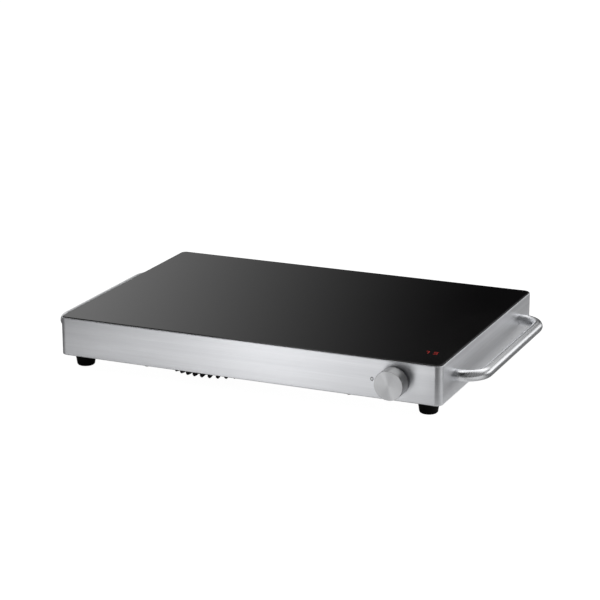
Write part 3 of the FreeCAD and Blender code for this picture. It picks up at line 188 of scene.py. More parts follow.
def steel(name, stretch, light, dark, roughness, bump, anisotropy):
    material, tree, shader = new_material(name, Metallic=1.0, Anisotropic=anisotropy,
                                          Anisotropic_Rotation=0.25)
    grain = object_pattern(tree, stretch)
    fine = noise(tree, grain, FINE_SCRATCHES, 2.0, 0.6)
    broad = noise(tree, grain, BROAD_SCRATCHES, 2.0, 0.5)
    tone = ramp(tree, combine(tree, "ADD", fine, broad), 0.0, 1.0, 0.7, 1.3)
    join(tree, blend_colours(tree, tone, dark, light), shader.inputs["Base Color"])
    rough = ramp(tree, fine, roughness - 0.05, roughness + 0.06, 0.3, 0.7)
    join(tree, rough, shader.inputs["Roughness"])
    add_bump(tree, fine, shader, bump, SCRATCH_HEIGHT)
    return material


housing_steel = steel("housing_steel", (BRUSH_STRETCH, BRUSH_STRETCH, 1.0), (0.87, 0.88, 0.905),
                      (0.75, 0.76, 0.785), roughness=0.36, bump=0.12, anisotropy=0.85)
handle_steel = steel("handle_steel", (1.0, BRUSH_STRETCH, 1.0), (0.90, 0.91, 0.93),
                     (0.80, 0.81, 0.83), roughness=0.26, bump=0.06, anisotropy=0.0)
print("finishes", housing_steel.name, handle_steel.name)

# %% [markdown]
# The top is ceramic glass, printed black from below. It is smooth and glossy, but never a perfect
# mirror: a very faint waviness and slight differences in polish keep its reflections soft.

# %% Black glass


def black_glass():
    material, tree, shader = new_material("black_glass", Metallic=0.0, IOR=1.5)
    surface = object_pattern(tree)
    cloud = noise(tree, surface, 6.0, 2.0, 0.5)
    colour = blend_colours(tree, cloud, (0.0022, 0.0020, 0.0024), (0.0036, 0.0030, 0.0036))
    join(tree, colour, shader.inputs["Base Color"])
    join(tree, ramp(tree, cloud, 0.05, 0.09, 0.3, 0.7), shader.inputs["Roughness"])
    add_bump(tree, noise(tree, surface, 30.0, 2.0, 0.5), shader, 0.02, 0.0004)
    return material


glass_black = black_glass()
print("finish", glass_black.name)

# %% [markdown]
# Rubber, plastic and coated parts have a fine overall grain, and plated sheet has a cloudy one.
# Two recipes make them all: one for finishes that aren't metal, and one for bare or plated metal.
# The two colours of each are the ends of its slow change from place to place.

# %% Recipes for grained and for metal finishes


def grained(name, first, second, roughness, scale, bump, shine=0.5):
    """A finish with a fine overall grain, as rubber and moulded plastic have."""
    material, tree, shader = new_material(name, Specular_IOR_Level=shine)
    surface = object_pattern(tree)
    grain = noise(tree, surface, scale, 4.0, 0.6)
    cloud = noise(tree, surface, scale / 25, 3.0, 0.5)
    join(tree, blend_colours(tree, cloud, first, second), shader.inputs["Base Color"])
    rough = ramp(tree, grain, roughness - 0.07, roughness + 0.07, 0.3, 0.7)
    join(tree, rough, shader.inputs["Roughness"])
    add_bump(tree, grain, shader, bump, 0.0003)
    return material


def sheet_metal(name, first, second, roughness, scale):
    """Zinc or nickel on steel, or plain metal: a cloudy finish with a fine grain."""
    material, tree, shader = new_material(name, Metallic=1.0)
    surface = object_pattern(tree)
    cloud = noise(tree, surface, scale, 4.0, 0.6)
    join(tree, blend_colours(tree, cloud, first, second), shader.inputs["Base Color"])
    rough = ramp(tree, cloud, roughness - 0.08, roughness + 0.08, 0.3, 0.7)
    join(tree, rough, shader.inputs["Roughness"])
    add_bump(tree, noise(tree, surface, scale * 12, 2.0, 0.5), shader, 0.05, 0.0002)
    return material


# %% [markdown]
# Each metal below is one call: its two colours, its roughness and the scale of its pattern. Screws
# and small fittings get a finer pattern than broad sheets, because they are looked at closely.

# %% Metals
zinc = sheet_metal("zinc", (0.55, 0.56, 0.57), (0.68, 0.69, 0.70), 0.38, 60.0)
screw_zinc = sheet_metal("screw_zinc", (0.62, 0.62, 0.61), (0.74, 0.74, 0.73), 0.26, 300.0)
nickel = sheet_metal("nickel", (0.60, 0.57, 0.52), (0.70, 0.67, 0.62), 0.22, 200.0)
blackened = sheet_metal("blackened", (0.05, 0.05, 0.05), (0.08, 0.08, 0.08), 0.4, 300.0)
brass = sheet_metal("brass", (0.72, 0.52, 0.20), (0.80, 0.62, 0.28), 0.28, 150.0)
aluminium = sheet_metal("aluminium", (0.70, 0.71, 0.72), (0.82, 0.82, 0.83), 0.34, 90.0)
copper = sheet_metal("copper", (0.62, 0.27, 0.12), (0.75, 0.36, 0.18), 0.32, 500.0)
print(len(bpy.data.materials), "finishes with the metals")

# %% [markdown]
# The rest isn't metal: rubber, silicone, plastics, the lacquer on circuit boards, the parts that
# stand on them, mica and the insulation of the leads. The feet and the intake are so dark that
# almost nothing but their shine shows, and it is turned down because a finely grained surface
# scatters most of it.

# %% Rubber, plastics and minerals
foot_rubber = grained("foot_rubber", (0.003, 0.003, 0.003), (0.007, 0.007, 0.007), 0.6, 2500.0,
                      0.25, shine=0.1)
silicone = grained("silicone", (0.012, 0.012, 0.013), (0.02, 0.02, 0.021), 0.45, 1500.0, 0.1)
black_plastic = grained("black_plastic", (0.004, 0.004, 0.004), (0.008, 0.008, 0.009), 0.5, 1800.0,
                        0.2, shine=0.12)
fan_plastic = grained("fan_plastic", (0.014, 0.014, 0.015), (0.022, 0.022, 0.023), 0.38, 1800.0,
                      0.12)
nylon = grained("nylon", (0.74, 0.72, 0.66), (0.82, 0.80, 0.75), 0.45, 900.0, 0.08)
red_silicone = grained("red_silicone", (0.36, 0.04, 0.03), (0.45, 0.06, 0.04), 0.5, 900.0, 0.1)
solder_mask = grained("solder_mask", (0.012, 0.10, 0.035), (0.02, 0.15, 0.05), 0.3, 400.0, 0.1)
smoked_plastic = grained("smoked_plastic", (0.02, 0.006, 0.006), (0.035, 0.01, 0.01), 0.2, 500.0,
                         0.03)
component_black = grained("component_black", (0.015, 0.015, 0.015), (0.03, 0.03, 0.03), 0.4, 900.0,
                          0.1)
component_blue = grained("component_blue", (0.03, 0.08, 0.30), (0.05, 0.12, 0.38), 0.3, 600.0, 0.06)
ferrite = grained("ferrite", (0.03, 0.03, 0.032), (0.055, 0.055, 0.06), 0.6, 1200.0, 0.3)
mica = grained("mica", (0.52, 0.44, 0.30), (0.66, 0.58, 0.42), 0.4, 200.0, 0.15)
lead_brown = grained("lead_brown", (0.12, 0.045, 0.018), (0.16, 0.06, 0.025), 0.4, 700.0, 0.05)
lead_blue = grained("lead_blue", (0.02, 0.10, 0.42), (0.03, 0.13, 0.5), 0.4, 700.0, 0.05)
lead_green = grained("lead_green", (0.06, 0.30, 0.05), (0.5, 0.5, 0.03), 0.4, 700.0, 0.05)
print(len(bpy.data.materials), "finishes in all")

# %% [markdown]
# Each slot named in the record has one finish, and every measured piece takes the finish of its
# slot. The pieces that are modelled again below take the same finishes.

# %% A finish for every slot
FINISHES = {
    "stainless": housing_steel, "galvanised": zinc, "silicone": silicone,
    "black_glass": glass_black, "fastener_steel": screw_zinc, "foot_rubber": foot_rubber,
    "handle_steel": handle_steel, "knob_metal": aluminium, "dark_steel": blackened,
    "nickel": nickel, "black_plastic": black_plastic, "circuit_board": solder_mask,
    "display_plastic": smoked_plastic, "nylon": nylon, "fan_plastic": fan_plastic,
    "copper": copper, "silicone_red": red_silicone, "heat_sink_metal": aluminium,
    "component_black": component_black, "component_blue": component_blue,
    "inlet_plastic": black_plastic, "brass": brass, "lead_brown": lead_brown,
    "lead_blue": lead_blue, "lead_green": lead_green, "mica": mica, "ferrite": ferrite,
}
slot_of = {entry["node"]: entry["material_slot"] for entry in frame["record"]["subparts"]}
for name, node in nodes.items():
    node.data.materials.clear()
    node.data.materials.append(FINISHES[slot_of[name]])
print(len(nodes), "measured pieces have", len(set(slot_of.values())), "finishes")

# %% [markdown]
# An operator acts on whatever is selected, so each piece starts with nothing selected. A primitive
# is added at its place and size, which are then put into its mesh, so that the object itself stays
# at the origin, unturned and unscaled.

# %% Helpers that start a piece


def clear_selection():
    if bpy.context.object and bpy.context.object.mode != "OBJECT":
        bpy.ops.object.mode_set(mode="OBJECT")
    bpy.ops.object.select_all(action="DESELECT")


def select_only(*pieces):
    """Selects these pieces and makes the first of them the active one."""
    clear_selection()
    for piece in pieces:
        piece.select_set(True)
    bpy.context.view_layer.objects.active = pieces[0]


def name_piece(name):
    """Names the primitive that was just added and puts its place into its mesh."""
    piece = bpy.context.object
    piece.name = name
    piece.data.name = name
    bpy.ops.object.transform_apply(location=True, rotation=True, scale=True)
    return piece


def block(name, low, high):
    """A box between two corners, as a start."""
    clear_selection()
    low, high = Vector(low), Vector(high)
    bpy.ops.mesh.primitive_cube_add(size=1, location=(low + high) / 2, scale=high - low)
    return name_piece(name)


def size_of(node):
    """Lowest corner, highest corner and middle of a measured piece."""
    low, high = (Vector(corner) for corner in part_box(node))
    return low, high, (low + high) / 2


# %% [markdown]
# Faces, edges and points are picked in code by where they lie, not by their numbers. The number of
# a face changes with every step of the modelling, but the top face is always the one that faces up.

# %% Helpers that pick and pull
SLACK = 0.00005


def edit(piece, kind="FACE"):
    """Opens a piece for editing, with nothing picked."""
    select_only(piece)
    bpy.ops.object.mode_set(mode="EDIT")
    bpy.ops.mesh.select_mode(type=kind)
    bpy.ops.mesh.select_all(action="DESELECT")


def end_edit():
    bpy.ops.object.mode_set(mode="OBJECT")


def pick(piece, kind, wanted):
    """Selects the faces, edges or points (VERT) of a piece for which wanted(it) is true."""
    bpy.ops.mesh.select_mode(type=kind)
    bpy.ops.mesh.select_all(action="DESELECT")
    mesh = bmesh.from_edit_mesh(piece.data)
    parts = {"FACE": mesh.faces, "EDGE": mesh.edges, "VERT": mesh.verts}[kind]
    for part in parts:
        if wanted(part):
            part.select_set(True)
    mesh.select_flush_mode()
    bmesh.update_edit_mesh(piece.data)


def middle(edge):
    return (edge.verts[0].co + edge.verts[1].co) / 2


def is_upright(edge):
    span = edge.verts[0].co - edge.verts[1].co
    return abs(span.z) > 0.9 * span.length


def lies_at(edge, axis, place):
    """True for an edge with both ends at one place along the axis x, y or z."""
    return all(abs(getattr(point.co, axis) - place) < SLACK for point in edge.verts)


def extrude(x=0, y=0, z=0):
    bpy.ops.mesh.extrude_region_move(TRANSFORM_OT_translate={"value": (x, y, z)})


# %% [markdown]
# Some steps act on whole pieces. A modifier is applied at once, so that the mesh itself is the one
# that is seen. A copy gets a mesh of its own. Spinning and extruding an open outline can
# turn its faces inside out, so such a mesh is merged and its faces are turned outwards again.

# %% Helpers for whole pieces


def apply_modifier(piece, kind, **settings):
    select_only(piece)
    modifier = piece.modifiers.new(kind.lower(), kind)
    for name, setting in settings.items():
        setattr(modifier, name, setting)
    bpy.ops.object.modifier_apply(modifier=modifier.name)


def cut_away(piece, cutter):
    """Takes one closed piece out of another, and removes the cutter."""
    apply_modifier(piece, "BOOLEAN", operation="DIFFERENCE", object=cutter, solver="EXACT")
    bpy.data.objects.remove(cutter)


def copy_piece(piece, name, placing):
    """A copy with its own mesh, moved or turned by a matrix."""
    twin = bpy.data.objects.new(name, piece.data.copy())
    twin.data.name = name
    twin.data.transform(placing)
    bpy.context.collection.objects.link(twin)
    return twin


def join_pieces(pieces, name):
    select_only(*pieces)
    bpy.ops.object.join()
    pieces[0].name = name
    pieces[0].data.name = name
    return pieces[0]


def face_outwards(piece):
    edit(piece)
    bpy.ops.mesh.select_all(action="SELECT")
    bpy.ops.mesh.remove_doubles(threshold=0.000001)
    bpy.ops.mesh.normals_make_consistent(inside=False)
    end_edit()


# %% [markdown]
# A finished piece gets its shading, its finish, the body that it rides on and the measured pieces
# that it stands for. Roundings are shaded smooth and sharp edges stay sharp. On a piece with large
# flat faces beside small roundings, weighted normals keep the flat faces flat in their shading.

# %% Helper that completes a piece
SMOOTH_BELOW = math.radians(30)


def complete(piece, body, slot, replaced=(), material=None, flat=False):
    select_only(piece)
    bpy.ops.object.shade_smooth_by_angle(angle=SMOOTH_BELOW)
    if flat:
        apply_modifier(piece, "WEIGHTED_NORMAL", keep_sharp=True, weight=100)
    piece.data.materials.clear()
    piece.data.materials.append(material or FINISHES[slot])
    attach(piece, body)
    if replaced:
        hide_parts(*replaced)
    print(piece.name, len(piece.data.polygons), "faces")


# %% [markdown]
# The housing is a tray of 1 mm steel, folded at its upright corners and folded in underneath as a
# narrow flange. A box is a fair start: its top goes, its upright edges and the fold are bevelled
# round, an inset and a hole leave the flange, and Solidify gives the sheet its thickness inwards.

# %% Housing walls
SHEET = 0.001
CORNER = 0.010
FOLD = 0.0016
FLANGE = 0.016

wall_low, wall_high, wall_middle = size_of("housing")
housing = block("housing_shell", wall_low, wall_high)
edit(housing, "EDGE")
pick(housing, "EDGE", is_upright)
bpy.ops.mesh.bevel(offset=CORNER, segments=12, profile=0.5)
pick(housing, "FACE", lambda face: face.normal.z > 0.9)
bpy.ops.mesh.delete(type="ONLY_FACE")
pick(housing, "EDGE", lambda edge: lies_at(edge, "z", wall_low.z))
bpy.ops.mesh.bevel(offset=FOLD, segments=5, profile=0.5)
pick(housing, "FACE", lambda face: face.normal.z < -0.99)
bpy.ops.mesh.inset(thickness=FLANGE - FOLD, depth=0)
bpy.ops.mesh.delete(type="FACE")
end_edit()
apply_modifier(housing, "SOLIDIFY", thickness=SHEET, offset=-1, use_even_offset=True)
print("housing walls", len(housing.data.polygons), "faces")

# %% [markdown]
# The rim is the one edge of the steel that the eye meets first, as a bright line round the glass. A
# real edge is never sharp, so its outer side is rounded, and it catches the light from above.

# %% Rim of the housing
RIM_ROUNDING = 0.0009


def is_outer_rim(edge):
    """True for an edge at the top of a wall face that looks away from the middle."""
    outwards = middle(edge) - wall_middle
    return lies_at(edge, "z", wall_high.z) and any(
        abs(face.normal.z) < 0.3 and face.normal.dot(outwards) > 0 for face in edge.link_faces)


edit(housing, "EDGE")
pick(housing, "EDGE", is_outer_rim)
bpy.ops.mesh.bevel(offset=RIM_ROUNDING, segments=5, profile=0.5)
end_edit()
print("with its rim", len(housing.data.polygons), "faces")

# %% [markdown]
# Warm air leaves through a row of upright slots in the rear wall, and the appliance inlet sits in a
# hole beside them. Each opening is cut with a box that passes through the wall.

# %% Openings in the rear wall
SLOT_COUNT = 14
SLOT_PITCH = 0.009
SLOT_START = -0.060
SLOT_SIZE = (0.003, 0.026)
INLET_HOLE = (0.0276, 0.0196)
CUT_DEPTH = 0.004

inlet_middle = size_of("inlet_socket")[2]
rear = wall_high.y
level = inlet_middle.z


def rear_cutter(x, size):
    """A box through the rear wall at the height of the inlet."""
    half_width, half_height = size[0] / 2, size[1] / 2
    return block("slot_cutter", (x - half_width, rear - CUT_DEPTH, level - half_height),
                 (x + half_width, rear + CUT_DEPTH, level + half_height))


cutters = [rear_cutter(SLOT_START + SLOT_PITCH * number, SLOT_SIZE) for number in range(SLOT_COUNT)]
cutters.append(rear_cutter(inlet_middle.x, INLET_HOLE))
cut_away(housing, join_pieces(cutters, "slot_cutters"))
complete(housing, "tray", "stainless", ["housing"], flat=True)

# %% [markdown]
# The glass plate lies in the rim with a dark line of silicone round it. Its ground edge is a narrow
# bevel, which keeps the plate from ending in a hard line. The plate stops a few hundredths of a
# millimetre under the measured top, which leaves that room for the lit digits.

# %% Glass plate
GLASS_CORNER = 0.0082
GLASS_BEVEL = 0.0008
DIGIT_THICKNESS = 0.00006

glass_low, glass_high = size_of("glass_top")[:2]
plate_top = glass_high.z - DIGIT_THICKNESS
glass = block("glass_plate", glass_low, glass_high - Vector((0, 0, DIGIT_THICKNESS)))
edit(glass, "EDGE")
pick(glass, "EDGE", is_upright)
bpy.ops.mesh.bevel(offset=GLASS_CORNER, segments=12, profile=0.5)
pick(glass, "EDGE", lambda edge: lies_at(edge, "z", plate_top))
bpy.ops.mesh.bevel(offset=GLASS_BEVEL, segments=2, profile=0.5)
end_edit()
complete(glass, "tray", "black_glass", ["glass_top"], flat=True)

# %% [markdown]
# Each handle is one length of round tube with two bends. It is drawn as a tube bender would make
# it: a circle is extruded out of the wall, spun through the first bend, extruded along the grip,
# spun through the second bend and extruded back to the wall. The left handle is a copy of the right
# one, turned by half a turn about the middle of the housing.

# %% Handles
BEND = 0.032

handle_low, handle_high, handle_middle = size_of("handle_right")
tube_radius = (handle_high.z - handle_low.z) / 2
leg = handle_high.y - handle_middle.y - tube_radius
near, far = handle_middle.y - leg, handle_middle.y + leg
wall_x = handle_low.x
bend_x = handle_high.x - tube_radius - BEND


def bend_tube(centre):
    bpy.ops.mesh.spin(steps=14, angle=math.pi / 2, center=centre, axis=(0, 0, -1))


clear_selection()
bpy.ops.mesh.primitive_circle_add(vertices=56, radius=tube_radius, rotation=(0, math.pi / 2, 0),
                                  location=(wall_x, near, handle_middle.z))
handle = name_piece("handle_tube_right")
edit(handle, "VERT")
bpy.ops.mesh.select_all(action="SELECT")
extrude(x=bend_x - wall_x)
bend_tube((bend_x, near + BEND, handle_middle.z))
extrude(y=2 * (leg - BEND))
bend_tube((bend_x, far - BEND, handle_middle.z))
extrude(x=wall_x - bend_x)
end_edit()
face_outwards(handle)
complete(handle, "tray", "handle_steel", ["handle_right"])
half_turn = (Matrix.Translation(Vector((0, wall_middle.y, 0))) @ Matrix.Rotation(math.pi, 4, "Z")
             @ Matrix.Translation(Vector((0, -wall_middle.y, 0))))
left_handle = copy_piece(handle, "handle_tube_left", half_turn)
complete(left_handle, "tray", "handle_steel", ["handle_left"])

# %% [markdown]
# The knob is turned from bar. Its face carries the fine rings that the cutting tool left, which is
# why the light on it forms pale and dark wedges that meet in the middle: the highlight spreads
# across the rings. The pattern reads the distance from the knob's own axis, and the shader gets a
# tangent that runs round that axis.

# %% Finish of the turned knob
RING_SCALE = 5200.0

knob_low, knob_high, knob_middle = size_of("knob")


def distance_from(tree, centre):
    """The distance from a line along Y that passes through the centre."""
    place = add_node(tree, "TexCoord")
    centred = add_node(tree, "Mapping", Location=(-centre.x, 0, -centre.z))
    join(tree, place.outputs["Object"], centred.inputs["Vector"])
    split = add_node(tree, "SeparateXYZ")
    join(tree, centred.outputs["Vector"], split.inputs[0])
    radius = add_node(tree, "CombineXYZ")
    join(tree, split.outputs["X"], radius.inputs["X"])
    join(tree, split.outputs["Z"], radius.inputs["Y"])
    length = add_node(tree, "VectorMath", operation="LENGTH")
    join(tree, radius.outputs[0], length.inputs[0])
    return length.outputs["Value"]


def turned_metal(name, centre):
    material, tree, shader = new_material(name, Metallic=1.0, Anisotropic=0.95,
                                          Anisotropic_Rotation=0.25)
    ring = add_node(tree, "TexNoise", noise_dimensions="1D", Scale=RING_SCALE, Detail=2.0)
    join(tree, distance_from(tree, centre), ring.inputs["W"])
    rings = ring.outputs["Fac"]
    colour = blend_colours(tree, rings, (0.45, 0.455, 0.465), (0.56, 0.565, 0.575))
    join(tree, colour, shader.inputs["Base Color"])
    join(tree, ramp(tree, rings, 0.26, 0.36, 0.3, 0.7), shader.inputs["Roughness"])
    add_bump(tree, rings, shader, 0.15, 0.0001)
    tangent = add_node(tree, "Tangent", direction_type="RADIAL", axis="Y")
    join(tree, tangent.outputs[0], shader.inputs["Tangent"])
    return material


knob_metal = turned_metal("knob_metal", knob_middle)
print("finish", knob_metal.name)

# %% [markdown]
# The knob starts as a cylinder on its side. The edge of its face is bevelled. At the back it steps
# in, which shows as a dark line against the wall, and it is hollow behind as the real knob is.

# %% Knob
KNOB_BEVEL = 0.0011
GROOVE = 0.0018
STEP_IN = 0.0012
KNOB_WALL = 0.002
HOLLOW_DEPTH = 0.014

clear_selection()
bpy.ops.mesh.primitive_cylinder_add(
    vertices=128, radius=(knob_high.x - knob_low.x) / 2, depth=knob_high.y - knob_low.y,
    location=knob_middle, rotation=(math.pi / 2, 0, 0))
knob = name_piece("knob_turned")
edit(knob)
pick(knob, "FACE", lambda face: face.normal.y > 0.9)
bpy.ops.transform.translate(value=(0, -GROOVE, 0))
bpy.ops.mesh.inset(thickness=STEP_IN, depth=0)
extrude(y=GROOVE)
bpy.ops.mesh.inset(thickness=KNOB_WALL, depth=0)
extrude(y=-HOLLOW_DEPTH)
pick(knob, "EDGE", lambda edge: lies_at(edge, "y", knob_low.y))
bpy.ops.mesh.bevel(offset=KNOB_BEVEL, segments=2, profile=0.5)
end_edit()
complete(knob, "control_knob", "knob_metal", ["knob"], material=knob_metal, flat=True)

# %% [markdown]
# The feet are moulded rubber plugs that narrow towards the table, with a rounded lower edge and a
# recess for the screw that holds them. One is modelled, and the others are copies of it.

# %% Feet
FOOT_NARROWING = 26 / 31.5
FOOT_ROUNDING = 0.0028
RECESS_EDGE = 0.006
RECESS_DEPTH = 0.0095
RECESS_LIMIT = 0.009

foot_low, foot_high, foot_middle = size_of("foot_front_right")


def is_outer_foot_edge(edge):
    return (lies_at(edge, "z", foot_low.z)
            and (middle(edge) - foot_middle).to_2d().length > RECESS_LIMIT)


clear_selection()
bpy.ops.mesh.primitive_cylinder_add(vertices=64, radius=(foot_high.x - foot_low.x) / 2,
                                    depth=foot_high.z - foot_low.z, location=foot_middle)
foot = name_piece("rubber_foot_front_right")
edit(foot)
pick(foot, "FACE", lambda face: face.normal.z < -0.9)
bpy.ops.transform.resize(value=(FOOT_NARROWING, FOOT_NARROWING, 1), center_override=foot_middle)
bpy.ops.mesh.inset(thickness=RECESS_EDGE, depth=0)
extrude(z=RECESS_DEPTH)
pick(foot, "EDGE", is_outer_foot_edge)
bpy.ops.mesh.bevel(offset=FOOT_ROUNDING, segments=6, profile=0.5)
end_edit()
complete(foot, "tray", "foot_rubber", ["foot_front_right"], flat=True)
for corner in ("front_left", "rear_left", "rear_right"):
    spot = size_of("foot_" + corner)[2]
    twin = copy_piece(foot, "rubber_foot_" + corner, Matrix.Translation(spot - foot_middle))
    complete(twin, "tray", "foot_rubber", ["foot_" + corner], flat=True)

# %% [markdown]
# The small screws that show from below have low rounded heads with a cross in them. One is modelled
# at the origin, its thread upwards: a short cylinder for the head, its top face drawn in and pulled
# up as the thread, the rim of the head rounded, and two crossed blocks cut out.

# %% Screw with a crossed head
HEAD_RADIUS = 0.0035
HEAD_HEIGHT = 0.0020
HEAD_ROUNDING = 0.0012
THREAD_RADIUS = 0.0020
CROSS_LENGTH = 0.0036
CROSS_WIDTH = 0.0008
CROSS_DEPTH = 0.0011
CUT_MARGIN = 0.0001


def crossed_screw(length):
    clear_selection()
    bpy.ops.mesh.primitive_cylinder_add(vertices=40, radius=HEAD_RADIUS, depth=HEAD_HEIGHT,
                                        location=(0, 0, -HEAD_HEIGHT / 2))
    screw = name_piece("screw")
    edit(screw)
    pick(screw, "FACE", lambda face: face.normal.z > 0.9)
    bpy.ops.mesh.inset(thickness=HEAD_RADIUS - THREAD_RADIUS, depth=0)
    extrude(z=length)
    pick(screw, "EDGE", lambda edge: lies_at(edge, "z", -HEAD_HEIGHT))
    bpy.ops.mesh.bevel(offset=HEAD_ROUNDING, segments=5, profile=0.5)
    end_edit()
    long, wide = CROSS_LENGTH / 2, CROSS_WIDTH / 2
    for x, y in ((long, wide), (wide, long)):
        cut_away(screw, block("bar", (-x, -y, -HEAD_HEIGHT - CUT_MARGIN),
                              (x, y, -HEAD_HEIGHT + CROSS_DEPTH)))
    return screw


# %% [markdown]
# A measured piece can hold several loose screws. Their places are read from its mesh: starting at
# one point, every point that is joined to it by edges belongs to the same screw. The modelled screw
# is then copied to each place, and the copies are joined to one piece again.

# %% Screws in their places
MEASURED_HEAD = 0.0026


def loose_parts(node):
    """Lowest and highest corner of each loose part of a measured piece."""
    mesh = bmesh.new()
    mesh.from_mesh(nodes[node].data)
    mesh.transform(nodes[node].matrix_world)
    bmesh.ops.remove_doubles(mesh, verts=mesh.verts, dist=0.000001)
    seen = set()
    corners = []
    for start in mesh.verts:
        if start in seen:
            continue
        seen.add(start)
        part = [start]
        for point in part:
            for edge in point.link_edges:
                other = edge.other_vert(point)
                if other not in seen:
                    seen.add(other)
                    part.append(other)
        corners.append([Vector(end(point.co[axis] for point in part) for axis in range(3))
                        for end in (min, max)])
    mesh.free()
    return corners


for node in ("base_screws", "fan_screws"):
    found = loose_parts(node)
    head_top = found[0][0].z + MEASURED_HEAD
    pattern = crossed_screw(found[0][1].z - head_top)
    copies = []
    for low, high in found:
        spot = (low + high) / 2
        spot.z = head_top
        copies.append(copy_piece(pattern, "screw", Matrix.Translation(spot)))
    bpy.data.objects.remove(pattern)
    complete(join_pieces(copies, node + "_crossed"), "tray", slot_of[node], [node], flat=True)

# %% [markdown]
# A zero on the front wall marks where the knob is off. It is printed, so it is a flat ring that is
# only a few hundredths of a millimetre thick.

# %% Zero mark
MARK_X = 0.1980
MARK_Z = 0.0476
MARK_RADIUS = 0.003
MARK_NARROWING = 0.75
MARK_STROKE = 0.0010
INK_FRONT = 0.00005
INK_THICKNESS = 0.00004

front = wall_low.y
ink = grained("ink", (0.015, 0.015, 0.017), (0.03, 0.03, 0.032), 0.6, 3000.0, 0.05, shine=0.2)
clear_selection()
bpy.ops.mesh.primitive_circle_add(vertices=40, radius=MARK_RADIUS, fill_type="NGON",
                                  location=(MARK_X, front - INK_FRONT, MARK_Z),
                                  rotation=(math.pi / 2, 0, 0))
mark = name_piece("zero_mark")
edit(mark)
bpy.ops.mesh.select_all(action="SELECT")
bpy.ops.transform.resize(value=(MARK_NARROWING, 1, 1), center_override=(MARK_X, front, MARK_Z))
bpy.ops.mesh.inset(thickness=MARK_STROKE, depth=0)
bpy.ops.mesh.delete(type="FACE")
bpy.ops.mesh.select_all(action="SELECT")
extrude(y=INK_THICKNESS)
end_edit()
face_outwards(mark)
complete(mark, "tray", "display_plastic", material=ink)

# %% [markdown]
# The readout shows through the glass as two red digits. Light that comes up through dark glass is
# dim and a little uneven, so the glow has two reds with a slow change between them.

# %% Glow of the digits


def glowing():
    material, tree, shader = new_material("glowing_red", Roughness=0.15, Emission_Strength=1.0)
    cloud = noise(tree, object_pattern(tree), 900.0, 2.0, 0.5)
    colour = blend_colours(tree, cloud, (0.05, 0.004, 0.004), (0.10, 0.008, 0.006))
    join(tree, colour, shader.inputs["Base Color"])
    glow = blend_colours(tree, cloud, (0.55, 0.035, 0.03), (0.75, 0.05, 0.04))
    join(tree, glow, shader.inputs["Emission Color"])
    return material


digit_glow = glowing()
print("finish", digit_glow.name)

# %% [markdown]
# Each digit is made of up to seven bars. A lit bar is a thin six-sided strip: a hexagon whose two
# halves are pulled apart. The bars that are off are left out, because behind dark glass they can't
# be seen. BARS gives each bar's middle, in digit widths and half heights, and whether it lies
# across.

# %% Lit digits
DIGIT_HEIGHT = 0.0095
DIGIT_WIDTH = 0.0052
BAR = 0.0006
BARS = {
    "a": (0, 1, True), "b": (0.5, 0.5, False), "c": (0.5, -0.5, False), "d": (0, -1, True),
    "e": (-0.5, -0.5, False), "f": (-0.5, 0.5, False), "g": (0, 0, True),
}
DIGITS = (("7", "abc", -0.0085), ("5", "afgcd", 0.0047))


def lay_bar(centre, length, lies_across):
    """One six-sided strip, flat on the glass."""
    top = (*centre, glass_high.z - DIGIT_THICKNESS / 4)
    clear_selection()
    bpy.ops.mesh.primitive_circle_add(vertices=6, radius=BAR / 2, fill_type="NGON", location=top)
    bar = name_piece("bar")
    edit(bar, "VERT")
    for side in (1, -1):
        pick(bar, "VERT", lambda point: side * (point.co.y - centre[1]) > 0.0001)
        bpy.ops.transform.translate(value=(0, side * (length - BAR) / 2, 0))
    bpy.ops.mesh.select_all(action="SELECT")
    if lies_across:
        bpy.ops.transform.rotate(value=math.pi / 2, orient_axis="Z", center_override=top)
        bpy.ops.mesh.select_all(action="SELECT")
    extrude(z=-DIGIT_THICKNESS)
    end_edit()
    return bar


display_middle = size_of("display_module")[2]
for digit, letters, shift in DIGITS:
    strips = []
    for letter in letters:
        across, up, lies_across = BARS[letter]
        centre = (display_middle.x + shift + across * DIGIT_WIDTH,
                  display_middle.y + up * DIGIT_HEIGHT / 2)
        length = DIGIT_WIDTH if lies_across else DIGIT_HEIGHT / 2
        strips.append(lay_bar(centre, length, lies_across))
    piece = join_pieces(strips, "digit_" + digit)
    face_outwards(piece)
    complete(piece, "tray", "display_plastic", material=digit_glow)

# %% [markdown]
# The studio starts with a wide white floor that glows by itself, so the camera sees an even white
# ground. Steel mirrors the floor, and a floor that is white everywhere would give all of it one
# tone. So in reflections, and only there, the glow changes from place to place. It is weaker to the
# left and much weaker to the right, and it is dark in front of the right corner, which draws that
# corner as a dark line. Under the box it is almost gone. A paler strip lies beside the near end of
# the right wall. Each edge is a soft one: a pair of numbers says where it starts and ends.

# %% Glow of the floor as reflections see it
FADES = (
    (-0.43, 0.25, -0.37, 1.0), (-0.50, 0.5, -0.22, 1.0),
    (0.20, 1.0, 0.28, 0.88), (0.28, 1.0, 0.36, 0.06),
)
PATCH_X, PATCH_Y = (0.24, 0.265), (-0.285, -0.255)
UNDER_X, UNDER_Y = (0.27, 0.31), (-0.25, -0.19)
UNDER_GLOW = 0.1
STRIP_X, STRIP_NEAR, STRIP_FAR = (0.33, 0.37), (-0.28, -0.25), (-0.13, -0.07)
FLOOR_STRIP_GLOW = 0.55


